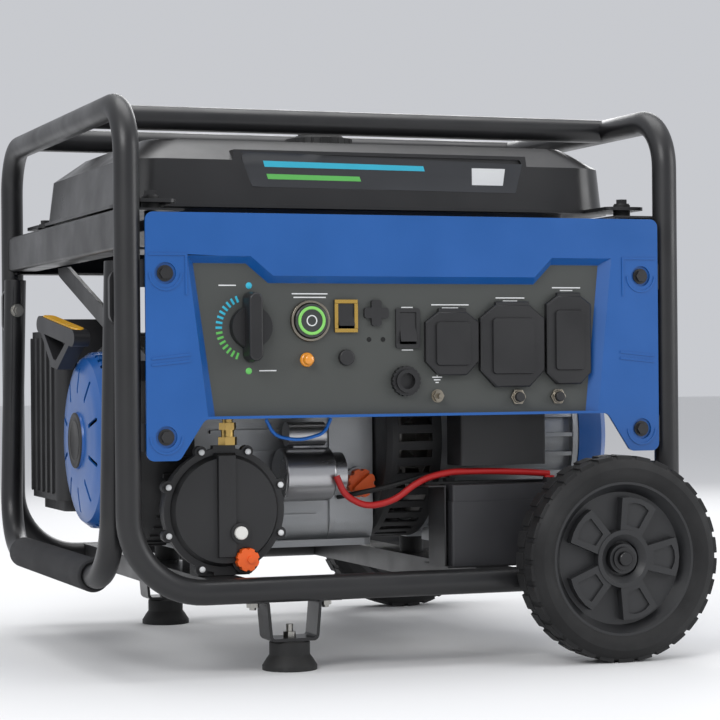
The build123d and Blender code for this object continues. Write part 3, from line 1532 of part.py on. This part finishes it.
# ================================================================ MODULE UNDER THE BOX AND GROUPED HARDWARE
with BuildPart() as control_module:
    with BuildSketch(level(224)):
        with Locations((134, -239)):
            RectangleRounded(108, 46, 4)
    extrude(amount=59.5)

export_group("control_box", [control_box.part, control_module.part])
export_group("kit_brackets", [axle_brackets.part, foot_brackets.part])
export_group("kit_bolts", [axle_washers.part, foot_bolts.part, handle_bolts.part])
export_group("flange_bolts", [tank_bolts.part, panel_bolts.part])
export_group("rubber_mounts", [tank_rubber_mounts.part, engine_mounts.part])
export_group("tank_upper_shell", [tank_upper_shell.part, fuel_gauge.part])
export_group("panel_terminals", [auxiliary_socket.part, ground_terminal.part])
export_group("control_rings", [control_ring_nuts.part, switch_frames.part, warning_lamp.part])
export_group("fill_caps", [oil_cap.part, regulator_cap.part])
export_group("battery_cable_black", [battery_cable_black.part, wire_harness.part])
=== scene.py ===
import bpy
import bmesh
import json
import math
from mathutils import Matrix, Vector
from mathutils.bvhtree import BVHTree


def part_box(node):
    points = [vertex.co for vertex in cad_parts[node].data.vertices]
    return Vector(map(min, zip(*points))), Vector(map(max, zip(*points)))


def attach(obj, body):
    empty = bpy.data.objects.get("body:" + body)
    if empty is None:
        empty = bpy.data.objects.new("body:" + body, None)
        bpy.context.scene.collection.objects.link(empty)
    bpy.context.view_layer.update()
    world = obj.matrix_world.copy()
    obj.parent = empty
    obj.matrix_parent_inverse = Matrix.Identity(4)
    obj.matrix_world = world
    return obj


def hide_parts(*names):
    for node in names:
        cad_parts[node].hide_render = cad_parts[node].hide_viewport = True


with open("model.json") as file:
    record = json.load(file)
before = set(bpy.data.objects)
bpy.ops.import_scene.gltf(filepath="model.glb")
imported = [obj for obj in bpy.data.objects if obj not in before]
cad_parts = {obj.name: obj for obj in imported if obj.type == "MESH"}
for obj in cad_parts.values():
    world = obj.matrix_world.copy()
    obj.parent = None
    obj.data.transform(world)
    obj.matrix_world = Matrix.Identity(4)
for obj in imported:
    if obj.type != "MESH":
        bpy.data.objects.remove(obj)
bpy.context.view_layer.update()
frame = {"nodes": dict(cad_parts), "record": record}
record = frame["record"]
body_of_node = {n: b for b, nodes in record["behaviour"]["bodies"].items() for n in nodes}
slot_of_node = {s["node"]: s["material_slot"] for s in record["subparts"]}

MM = 1000  # millimetres in a metre: places on the object are written in millimetres
BROAD_MOTTLE = 14.0  # scale of the slow change of tone and roughness
DUST_SPECKLE = 60.0
DUST_COLOR = (0.32, 0.30, 0.27, 1)
SEAM_GAP = 2e-5  # vertices nearer than this are one vertex
SHORT_EDGE = 1e-5
CREASE = math.radians(32)  # edges sharper than this stay sharp and are rounded
EDGE_WIDTH = 0.0005


# ---------------------------------------------------------------- materials
def surface(name, color, rough, metal=0.0, grain=400.0, bump=0.05, vary=0.25, dust=0.0, coat=0.0,
            stretch=(1, 1, 1)):
    """Procedural finish: mottled colour, uneven roughness, fine bump, and dust gathered on upward faces."""
    m = bpy.data.materials.new(name)
    m.use_nodes = True
    nt = m.node_tree
    bsdf = nt.nodes["Principled BSDF"]
    bsdf.inputs["Base Color"].default_value = (*color, 1)
    bsdf.inputs["Roughness"].default_value = rough
    bsdf.inputs["Metallic"].default_value = metal
    bsdf.inputs["Coat Weight"].default_value = coat
    bsdf.inputs["Coat Roughness"].default_value = 0.2
    new, link = nt.nodes.new, nt.links.new
    coords = new("ShaderNodeTexCoord")
    mapping = new("ShaderNodeMapping")
    mapping.inputs["Scale"].default_value = stretch
    link(coords.outputs["Object"], mapping.inputs["Vector"])

    def noise(scale, detail):
        n = new("ShaderNodeTexNoise")
        n.inputs["Scale"].default_value = scale
        n.inputs["Detail"].default_value = detail
        link(mapping.outputs["Vector"], n.inputs["Vector"])
        return n.outputs["Fac"]

    def ramp(source, low, high):
        r = new("ShaderNodeMapRange")
        r.inputs["From Min"].default_value = 0.3
        r.inputs["From Max"].default_value = 0.7
        r.inputs["To Min"].default_value = low
        r.inputs["To Max"].default_value = high
        link(source, r.inputs["Value"])
        return r.outputs["Result"]

    broad = noise(BROAD_MOTTLE, 6.0)
    fine = noise(grain, 3.0)
    smoothest, roughest = max(0.03, rough * (1 - vary)), min(1.0, rough * (1 + vary))
    link(ramp(broad, smoothest, roughest), bsdf.inputs["Roughness"])
    tone = new("ShaderNodeMix")
    tone.data_type = "RGBA"
    tone.inputs["A"].default_value = (*[c * 0.86 for c in color], 1)
    tone.inputs["B"].default_value = (*[min(1, c * 1.12 + 0.002) for c in color], 1)
    link(broad, tone.inputs["Factor"])
    result = tone.outputs["Result"]
    if dust:
        geometry = new("ShaderNodeNewGeometry")
        axes = new("ShaderNodeSeparateXYZ")
        link(geometry.outputs["Normal"], axes.inputs["Vector"])
        up = new("ShaderNodeMapRange")
        up.inputs["From Min"].default_value = 0.3
        up.inputs["To Max"].default_value = dust
        link(axes.outputs["Z"], up.inputs["Value"])
        speckle = new("ShaderNodeMath")
        speckle.operation = "MULTIPLY"
        link(up.outputs["Result"], speckle.inputs[0])
        link(ramp(noise(DUST_SPECKLE, 8.0), 0.2, 1.0), speckle.inputs[1])
        layer = new("ShaderNodeMix")
        layer.data_type = "RGBA"
        layer.inputs["B"].default_value = DUST_COLOR
        link(speckle.outputs["Value"], layer.inputs["Factor"])
        link(result, layer.inputs["A"])
        result = layer.outputs["Result"]
    link(result, bsdf.inputs["Base Color"])
    b = new("ShaderNodeBump")
    b.inputs["Strength"].default_value = bump
    b.inputs["Distance"].default_value = 0.001
    link(fine, b.inputs["Height"])
    link(b.outputs["Normal"], bsdf.inputs["Normal"])
    return m


finish = {
    "frame_black": surface("frame_black", (0.008, 0.008, 0.009), 0.40, grain=900, bump=0.08, dust=0.03,
                           coat=0.1),
    "kit_black": surface("kit_black", (0.004, 0.004, 0.005), 0.36, grain=900, bump=0.05, dust=0.015,
                         coat=0.1),
    "tyre_rubber": surface("tyre_rubber", (0.0055, 0.0055, 0.006), 0.72, grain=1200, bump=0.3, dust=0.04),
    "rim_grey": surface("rim_grey", (0.016, 0.0165, 0.018), 0.45, grain=700, bump=0.1, dust=0.02),
    "foot_rubber": surface("foot_rubber", (0.008, 0.008, 0.008), 0.65, grain=1000, bump=0.2, dust=0.04),
    "bolt_steel": surface("bolt_steel", (0.42, 0.41, 0.38), 0.34, metal=1.0, grain=1500, bump=0.05),
    "grip_foam": surface("grip_foam", (0.022, 0.022, 0.024), 0.96, grain=2600, bump=0.7),
    "tank_black": surface("tank_black", (0.009, 0.009, 0.010), 0.36, grain=500, bump=0.05, dust=0.03,
                          coat=0.2),
    "cap_black": surface("cap_black", (0.014, 0.014, 0.014), 0.55, grain=900, bump=0.15, dust=0.1),
    "panel_blue": surface("panel_blue", (0.0, 0.080, 0.315), 0.36, grain=600, bump=0.06, vary=0.15,
                          dust=0.03, coat=0.3),
    "control_grey": surface("control_grey", (0.052, 0.056, 0.052), 0.6, grain=1600, bump=0.2, dust=0.03),
    "box_black": surface("box_black", (0.013, 0.013, 0.014), 0.5, grain=1300, bump=0.18, dust=0.06),
    "knob_black": surface("knob_black", (0.011, 0.011, 0.012), 0.4, grain=1100, bump=0.1, dust=0.03),
    "button_green": surface("button_green", (0.03, 0.034, 0.032), 0.35, grain=300, bump=0.03, coat=0.3),
    "ring_metal": surface("ring_metal", (0.30, 0.27, 0.22), 0.32, metal=1.0, grain=1500, bump=0.04),
    "case_alu": surface("case_alu", (0.40, 0.41, 0.42), 0.46, metal=0.85, grain=700, bump=0.25, dust=0.1),
    "steel": surface("steel", (0.22, 0.21, 0.20), 0.4, metal=1.0, grain=900, bump=0.1),
    "starter_silver": surface("starter_silver", (0.45, 0.45, 0.46), 0.3, metal=1.0, grain=600, bump=0.08,
                              stretch=(0.1, 1, 1)),
    "muffler_steel": surface("muffler_steel", (0.19, 0.17, 0.15), 0.5, metal=0.9, grain=500, bump=0.15,
                             vary=0.35, dust=0.1),
    "grip_dark": surface("grip_dark", (0.02, 0.02, 0.022), 0.42, grain=900, bump=0.1),
    "plug_red": surface("plug_red", (0.42, 0.008, 0.008), 0.45, grain=900, bump=0.1),
    "wire_black": surface("wire_black", (0.012, 0.012, 0.012), 0.5, grain=900, bump=0.1),
    "cap_orange": surface("cap_orange", (0.85, 0.12, 0.01), 0.42, grain=900, bump=0.1),
    "button_white": surface("button_white", (0.75, 0.74, 0.70), 0.35, grain=600, bump=0.04),
    "brass": surface("brass", (0.62, 0.42, 0.14), 0.3, metal=1.0, grain=900, bump=0.06),
    "battery_grey": surface("battery_grey", (0.028, 0.028, 0.031), 0.45, grain=1000, bump=0.12, dust=0.06),
    "bracket_black": surface("bracket_black", (0.014, 0.014, 0.015), 0.4, grain=900, bump=0.08, dust=0.06),
}
cyan = surface("mark_cyan", (0.03, 0.45, 0.62), 0.5, grain=800, bump=0.03)
green = surface("mark_green", (0.12, 0.5, 0.10), 0.5, grain=800, bump=0.03)
white = surface("mark_white", (0.72, 0.73, 0.73), 0.5, grain=800, bump=0.03)
yellow = surface("grip_yellow", (0.80, 0.42, 0.02), 0.4, grain=900, bump=0.08)
amber = surface("lamp_amber", (0.75, 0.28, 0.02), 0.2, grain=300, bump=0.02, coat=0.6)
glow = surface("button_glow", (0.22, 0.62, 0.12), 0.3, grain=300, bump=0.02, coat=0.4)
gold = surface("bezel_gold", (0.62, 0.40, 0.10), 0.3, metal=0.9, grain=900, bump=0.04)
# painted shade: near-black colour for discs that stand in for the shade inside the pilot holes
painted_hole_shade = surface("hole_painted_shade", (0.003, 0.003, 0.003), 0.8, grain=800, bump=0.05)
wire_blue = surface("wire_blue", (0.01, 0.16, 0.62), 0.4, grain=900, bump=0.05)
label = surface("label_band", (0.022, 0.024, 0.028), 0.22, grain=500, bump=0.02, coat=0.5)


# ---------------------------------------------------------------- CAD pieces, with rounded edges
def islands(work):
    """The separate solids of a bmesh, each as a list of its vertices."""
    seen = set()
    for first in work.verts:
        if first in seen:
            continue
        island, queue = [], [first]
        seen.add(first)
        while queue:
            v = queue.pop()
            island.append(v)
            for e in v.link_edges:
                other = e.other_vert(v)
                if other not in seen:
                    seen.add(other)
                    queue.append(other)
        yield island


def middle(points):
    """Centre of the box round some points, in millimetres."""
    low = Vector([min(p[k] for p in points) for k in range(3)])
    high = Vector([max(p[k] for p in points) for k in range(3)])
    return (low + high) / 2 * MM


def refined(node, width, name=None, slot_name=None, material=None, keep=None):
    """A copy of the CAD piece with its seams joined, worn edges and smooth curved faces, shown in its place.
    keep chooses some of its solids by the middle of each, so one piece can carry several finishes."""
    slot_name = slot_name or slot_of_node[node]
    source = frame["nodes"][node]
    mesh = source.data.copy()
    work = bmesh.new()
    work.from_mesh(mesh)
    bmesh.ops.remove_doubles(work, verts=work.verts, dist=SEAM_GAP)
    bmesh.ops.dissolve_degenerate(work, edges=work.edges, dist=SHORT_EDGE)
    if keep:
        place = source.matrix_world
        unwanted = [island for island in islands(work) if not keep(middle([place @ v.co for v in island]))]
        doomed = [v for island in unwanted for v in island]
        bmesh.ops.delete(work, geom=doomed, context="VERTS")
    smooth = node not in flat_nodes
    for face in work.faces:
        face.smooth = smooth
    for edge in work.edges:
        edge.smooth = len(edge.link_faces) == 2 and edge.calc_face_angle(math.pi) < CREASE
    work.to_mesh(mesh)
    work.free()
    result = bpy.data.objects.new(name or "v_" + node, mesh)
    bpy.context.scene.collection.objects.link(result)
    result.matrix_world = source.matrix_world.copy()
    mesh.materials.clear()
    mesh.materials.append(material or finish[slot_name])
    if smooth:
        bevel = result.modifiers.new("edges", "BEVEL")
        bevel.width = width
        bevel.segments = 2
        bevel.limit_method = "ANGLE"
        bevel.angle_limit = CREASE
        bevel.harden_normals = True
        bevel.use_clamp_overlap = True
    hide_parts(node)
    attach(result, body_of_node[node])
    return result


flat_nodes = {"control_face"}
wide_edges = {"handle_grip": 0.004, "wheel_tyre_front": 0.0012, "wheel_tyre_rear": 0.0012,
              "front_panel": 0.0012, "muffler": 0.0012, "foot_pads": 0.0015, "recoil_grip": 0.0025,
              "air_cleaner": 0.0012}


start_x, start_z = -118.5, 391
lamp_x, lamp_z = -122.5, 347.8
ring_reach = 6
breakers_top_z = 312
black_lead_x = -60  # the black lead lies to the right of this, the wire loop to the left
outboard_y = 305
axle_side_x = 200
ground_x = 15  # the ground terminal lies to the right of this, the socket to the left


def near(p, x, z):
    return math.hypot(p.x - x, p.z - z) < ring_reach


def is_lamp(p):
    return near(p, lamp_x, lamp_z)


def is_chromed(p):
    return near(p, start_x, start_z) or p.z < breakers_top_z


def is_dark_frame(p):
    return not is_chromed(p) and not is_lamp(p)


def is_axle_washer(p):
    return abs(p.y) > outboard_y and p.x > axle_side_x


# node: (name, slot, material if not the slot's own, which solids)
split = {
    "control_rings": (("chrome_rings", "ring_metal", None, is_chromed),
                      ("lamp_ring", "ring_metal", amber, is_lamp),
                      ("dark_frames", "box_black", None, is_dark_frame)),
    "battery_cable_black": (("black_lead", "wire_black", None, lambda p: p.x > black_lead_x),
                            ("blue_loop", "wire_black", wire_blue, lambda p: p.x <= black_lead_x)),
    "kit_bolts": (("axle_washers_dark", "kit_black", None, is_axle_washer),
                  ("kit_bolts_steel", "bolt_steel", None, lambda p: not is_axle_washer(p))),
    "flange_bolts": (("flange_bolts_dark", "bracket_black", None, None),),
    "panel_terminals": (("terminals_dark", "knob_black", None, lambda p: p.x < ground_x),
                        ("terminal_ground", "ring_metal", None, lambda p: p.x >= ground_x)),
}
for n in sorted(frame["nodes"]):
    width = wide_edges.get(n, EDGE_WIDTH)
    if n in split:
        for part_name, slot_name, material, chooser in split[n]:
            refined(n, width, part_name, slot_name, material, chooser)
    else:
        refined(n, width)


# ---------------------------------------------------------------- added detail
def shape(name, build, material, node, slot_name=None):
    """A small extra piece on the same body as a CAD piece; build fills a bmesh in row-frame metres."""
    work = bmesh.new()
    build(work)
    bmesh.ops.recalc_face_normals(work, faces=work.faces)
    mesh = bpy.data.meshes.new(name)
    work.to_mesh(mesh)
    work.free()
    obj = bpy.data.objects.new(name, mesh)
    bpy.context.scene.collection.objects.link(obj)
    mesh.materials.append(material)
    slot_name or slot_of_node[node]
    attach(obj, body_of_node[node])
    return obj


def axes_at(x, y, z, origin):
    """Frame with the given axes at a point."""
    rows = [(x[k], y[k], z[k], origin[k]) for k in range(3)]
    return Matrix((*rows, (0, 0, 0, 1)))


def facing(origin, out):
    """Frame whose local Z points along out, local Y as near up as it can be."""
    z = Vector(out).normalized()
    x = Vector((0, 0, 1)).cross(z)
    if x.length < 1e-6:
        x = Vector((1, 0, 0))
    x.normalize()
    y = z.cross(x)
    return axes_at(x, y, z, origin)


def lathe(work, at, profile, steps=48):
    """Turn (radius, height) points round the local Z of a frame."""
    rings = []
    for r, h in profile:
        if r < 1e-7:
            rings.append([work.verts.new(at @ Vector((0, 0, h)))])
            continue
        turns = [2 * math.pi * i / steps for i in range(steps)]
        rings.append([work.verts.new(at @ Vector((r * math.cos(t), r * math.sin(t), h))) for t in turns])
    for a, b in zip(rings, rings[1:]):
        for i in range(steps):
            corners = [a[i % len(a)], a[(i + 1) % len(a)], b[(i + 1) % len(b)], b[i % len(b)]]
            seen = []
            for v in corners:
                if v not in seen:
                    seen.append(v)
            if len(seen) > 2:
                work.faces.new(seen).smooth = True


def slab(work, at, outline, height, inset=0.0004):
    """A flat raised pad with a softened upper edge, from a local outline."""
    mid = sum((Vector(p) for p in outline), Vector((0, 0))) / len(outline)
    low = [work.verts.new(at @ Vector((x, y, 0))) for x, y in outline]
    high = []
    for x, y in outline:
        back = (mid - Vector((x, y))).normalized() * inset
        high.append(work.verts.new(at @ Vector((x + back.x, y + back.y, height))))
    work.faces.new(high)
    for i in range(len(low)):
        j = (i + 1) % len(low)
        work.faces.new([low[i], low[j], high[j], high[i]])


def rect(cx, cy, w, h):
    """Outline of a rectangle round a local middle."""
    left, right, bottom, top = cx - w / 2, cx + w / 2, cy - h / 2, cy + h / 2
    return [(left, bottom), (right, bottom), (right, top), (left, top)]


FORWARD = (0, -1, 0)
plate_y = -0.304  # face of the control plate
knob_x, knob_z, tick_r = -190.5, 383.5, 33.5
tick_start, tick_sweep, tick_gaps = 112, 136, 14
upper_ticks, all_ticks = 8, 15
mark_height, mark_inset, line_width = 0.0003, 0.0003, 0.0013


def on_plate(x, z, depth=0.0):
    """Frame on the control plate, at millimetres across and up."""
    return facing((x / MM, plate_y - depth, z / MM), FORWARD)


def ticks(work, first, last):
    for i in range(first, last):
        angle = math.radians(tick_start + i * tick_sweep / tick_gaps)
        spot = on_plate(knob_x + tick_r * math.cos(angle), knob_z + tick_r * math.sin(angle))
        slab(work, spot @ Matrix.Rotation(angle, 4, "Z"), rect(0, 0, 0.0075, 0.0026), mark_height)


def dot(x, z):
    return lambda work: lathe(work, on_plate(x, z), [(0.0036, 0), (0.0034, 0.0004), (0, 0.0005)])


shape("gauge_ticks_upper", lambda w: ticks(w, 0, upper_ticks), cyan, "control_face")
shape("gauge_ticks_lower", lambda w: ticks(w, upper_ticks, all_ticks), green, "control_face")
shape("dot_upper", dot(-189.2, 429.8), cyan, "control_face")
shape("dot_lower", dot(-190, 335.8), green, "control_face")


def earth(work):
    x, z = 33.5, 318
    for dz, wide in ((9, 12), (6, 8), (3, 4)):
        slab(work, on_plate(x, z + dz), rect(0, 0, wide / MM, line_width), mark_height)
    slab(work, on_plate(x, z + 13), rect(0, 0, line_width, 0.008), mark_height)


# pilot holes drawn as raised near-black discs: painted shade in place of real openings
def pilot_holes(work):
    for x in (-48.6, -31.8):
        lathe(work, on_plate(x, 370), [(0.0028, 0), (0.0026, 0.0003), (0, 0.0003)], 24)


def dashes(work):
    """Plain lines in place of words: (x, z, length)."""
    for x, z, wide in ((50, 409, 46), (50, 405.5, 20), (124.5, 417, 36), (124.5, 413.5, 18),
                       (195.5, 429, 36), (195.5, 425.8, 16), (-118.5, 421, 42), (-118.5, 417, 38),
                       (-2.5, 406, 14), (-2.5, 358, 14), (-214, 430, 20), (-168, 336, 20)):
        slab(work, on_plate(x, z), rect(0, 0, wide / MM, line_width), mark_height)


def lens(work):
    profile = [(0.0058, -0.006), (0.0058, 0), (0.0042, 0.0018), (0, 0.0024)]
    lathe(work, on_plate(lamp_x, lamp_z, 0.0092), profile)


shape("earth_mark", earth, white, "control_face")
shape("pilot_holes", pilot_holes, painted_hole_shade, "control_face")
shape("plain_dashes", dashes, white, "control_face")
shape("lamp_lens", lens, amber, "control_rings")

button_face = facing((start_x / MM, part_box("start_button")[0][1] - 0.0002, start_z / MM), FORWARD)


def start_glow(work):
    lathe(work, button_face, [(0.0160, -0.001), (0.0160, 0.0004), (0.0152, 0.0009), (0.0134, 0.0009),
                              (0.0126, 0.0004), (0.0126, -0.001)], 64)


def start_mark(work):
    lathe(work, button_face, [(0.0062, -0.001), (0.0062, 0.0003), (0.0050, 0.0003), (0.0050, -0.001)], 48)


def bezel(work, x, z, wide, high, band):
    """Raised rectangular frame round a rocker."""
    rings_depth = 0.0029
    for cx, cz, w, h in ((0, high / 2 - band / 2, wide, band), (0, -high / 2 + band / 2, wide, band),
                         (wide / 2 - band / 2, 0, band, high - 2 * band),
                         (-wide / 2 + band / 2, 0, band, high - 2 * band)):
        slab(work, on_plate(x + cx, z + cz, rings_depth), rect(0, 0, w / MM, h / MM), 0.0006, mark_inset)


shape("start_glow", start_glow, glow, "start_button")
shape("start_mark", start_mark, white, "start_button")
shape("gold_bezel", lambda w: bezel(w, -76.5, 396.3, 27.6, 36.6, 4.2), gold, "control_rings")

# ---------------------------------------------------------------- regulator and recoil cover
regulator_x, regulator_z, screw_circle_r = -204.5, 180.5, 70.5
screw_face_y = -0.2586


def screw_ends(work):
    """White ends of the regulator's screws."""
    profile = [(0.0034, 0), (0.0034, 0.0008), (0.0022, 0.0016), (0, 0.0018)]
    for i in range(7):
        angle = math.radians(-22.5 + 45 * i)
        place = ((regulator_x + screw_circle_r * math.cos(angle)) / MM, screw_face_y,
                 (regulator_z + screw_circle_r * math.sin(angle)) / MM)
        lathe(work, facing(place, FORWARD), profile, 20)


def emblem(work):
    """Round plate in the middle of the recoil cover, with plain rings."""
    hub = facing((-0.3312, -0.075, 0.256), (-1, 0, 0))
    lathe(work, hub, [(0.0325, -0.001), (0.0325, 0.0012), (0.0305, 0.0018), (0.029, 0.0012), (0.024, 0.001),
                      (0.0235, 0.0016), (0.022, 0.0016), (0.0215, 0.001), (0, 0.001)], 72)


shape("screw_ends", screw_ends, white, "regulator_cover", "button_white")
shape("recoil_emblem", emblem, finish["box_black"], "recoil_cover", "box_black")


# ---------------------------------------------------------------- label band, laid on the front of the tank
ray_start_y = -0.5
missed_y = -0.2  # where a point goes if nothing lies behind it
band_lift, bar_lift = 0.0006, 0.0010


def projected(name, outline, material, node, lift, cols=24, rows=4):
    """A thin band that follows the front of a CAD piece: a grid between four corners, dropped on it."""
    source = frame["nodes"][node]
    cad = source.data
    tree = BVHTree.FromPolygons([v.co for v in cad.vertices], [p.vertices for p in cad.polygons])
    inverse = source.matrix_world.inverted()
    a, b, c, d = [Vector(p) / MM for p in outline]

    def build(work):
        grid = []
        for j in range(rows + 1):
            row = []
            for i in range(cols + 1):
                u, v = i / cols, j / rows
                p = (a * (1 - u) + b * u) * (1 - v) + (d * (1 - u) + c * u) * v
                start = inverse @ Vector((p.x, ray_start_y, p.y))
                way = inverse.to_3x3() @ Vector((0, 1, 0))
                hit, normal, _, _ = tree.ray_cast(start, way)
                if hit is None:
                    hit, normal = inverse @ Vector((p.x, missed_y, p.y)), way * -1
                world = source.matrix_world @ hit
                face_out = (source.matrix_world.to_3x3() @ normal).normalized()
                if face_out.y > 0:
                    face_out.negate()
                row.append(work.verts.new(world + face_out * lift))
            grid.append(row)
        for j in range(rows):
            for i in range(cols):
                work.faces.new([grid[j][i], grid[j][i + 1], grid[j + 1][i + 1], grid[j + 1][i]]).smooth = True

    return shape(name, build, material, node)


for part_name, corners, material, lift in (
        ("tank_band", ((-154, 547), (175, 545), (184, 580), (-168, 587)), label, band_lift),
        ("tank_bar_cyan", ((-138, 570), (60, 569), (58, 575), (-140, 577)), cyan, bar_lift),
        ("tank_bar_green", ((-134, 556), (-20, 555.5), (-22, 561), (-136, 562)), green, bar_lift),
        ("tank_bar_white", ((120, 554), (160, 554), (163, 574), (120, 574)), white, bar_lift)):
    projected(part_name, corners, material, "tank_upper_shell", lift)


def insert(work):
    """Yellow insert along the top of the recoil grip: a slab with round ends."""
    half_length, end_r, lift = 0.048, 0.0075, 0.0096
    back, fore = Vector((-0.344, 0.030, 0.396)), Vector((-0.327, -0.096, 0.374))
    along = (fore - back).normalized()
    out = along.cross(Vector((0, 0, 1))).normalized()
    up = out.cross(along).normalized()
    if up.z < 0:
        up.negate()
    base = axes_at(along, out, up, (back + fore) / 2 + up * lift)
    outline = []
    for end in (1, -1):
        for i in range(9):
            angle = math.radians(-90 + i * 22.5)
            outline.append((end * (half_length + end_r * math.cos(angle)), end * end_r * math.sin(angle)))
    slab(work, base, outline, 0.0016, 0.0010)


shape("grip_insert", insert, yellow, "recoil_grip")

# ---------------------------------------------------------------- floor, light, camera
floor_finish = bpy.data.materials.new("floor_pale")
floor_finish.use_nodes = True
floor_bsdf = floor_finish.node_tree.nodes["Principled BSDF"]
floor_bsdf.inputs["Base Color"].default_value = (0.78, 0.78, 0.78, 1)
floor_bsdf.inputs["Roughness"].default_value = 0.85
bpy.ops.mesh.primitive_plane_add(size=40, location=(0, 0, 0))
floor = bpy.context.object
floor.name = "floor"
floor.data.materials.append(floor_finish)

world = bpy.data.worlds.new("studio")
world.use_nodes = True
world.node_tree.nodes["Background"].inputs["Color"].default_value = (0.93, 0.95, 1.0, 1)
world.node_tree.nodes["Background"].inputs["Strength"].default_value = 0.62
bpy.context.scene.world = world
bpy.context.scene.view_settings.view_transform = "Standard"


def lamp_area(name, place, target, size, power):
    data = bpy.data.lights.new(name, "AREA")
    data.shape = "RECTANGLE"
    data.size = size[0]
    data.size_y = size[1]
    data.energy = power
    obj = bpy.data.objects.new(name, data)
    bpy.context.scene.collection.objects.link(obj)
    obj.location = place
    obj.rotation_euler = (Vector(target) - Vector(place)).to_track_quat("-Z", "Y").to_euler()


lamp_area("key", (-2.2, -2.4, 2.4), (0, 0, 0.3), (2.0, 1.6), 62)
lamp_area("fill", (2.6, -1.8, 1.2), (0, 0, 0.3), (1.6, 1.6), 26)
lamp_area("top", (0.2, 0.2, 3.0), (0, 0, 0.3), (2.5, 2.0), 46)
lamp_area("back", (1.4, 2.8, 1.8), (0, 0, 0.4), (2.0, 1.2), 30)

camera_place = (-0.9581, -2.7384, 0.3371)
camera_lens, sensor_width = 115.9, 36
azimuth, pitch, roll = (math.radians(v) for v in (-20.26, 0.22, -0.48))
right = Vector((math.cos(azimuth), math.sin(azimuth), 0))
ahead = Vector((-math.sin(azimuth) * math.cos(pitch), math.cos(azimuth) * math.cos(pitch), math.sin(pitch)))
up = right.cross(ahead)
cam_x = right * math.cos(roll) + up * math.sin(roll)
cam_y = up * math.cos(roll) - right * math.sin(roll)
camera_data = bpy.data.cameras.new("camera")
camera_data.lens = camera_lens
camera_data.sensor_width = sensor_width
camera = bpy.data.objects.new("camera", camera_data)
bpy.context.scene.collection.objects.link(camera)
camera.matrix_world = axes_at(cam_x, cam_y, -ahead, camera_place)
bpy.context.scene.camera = camera
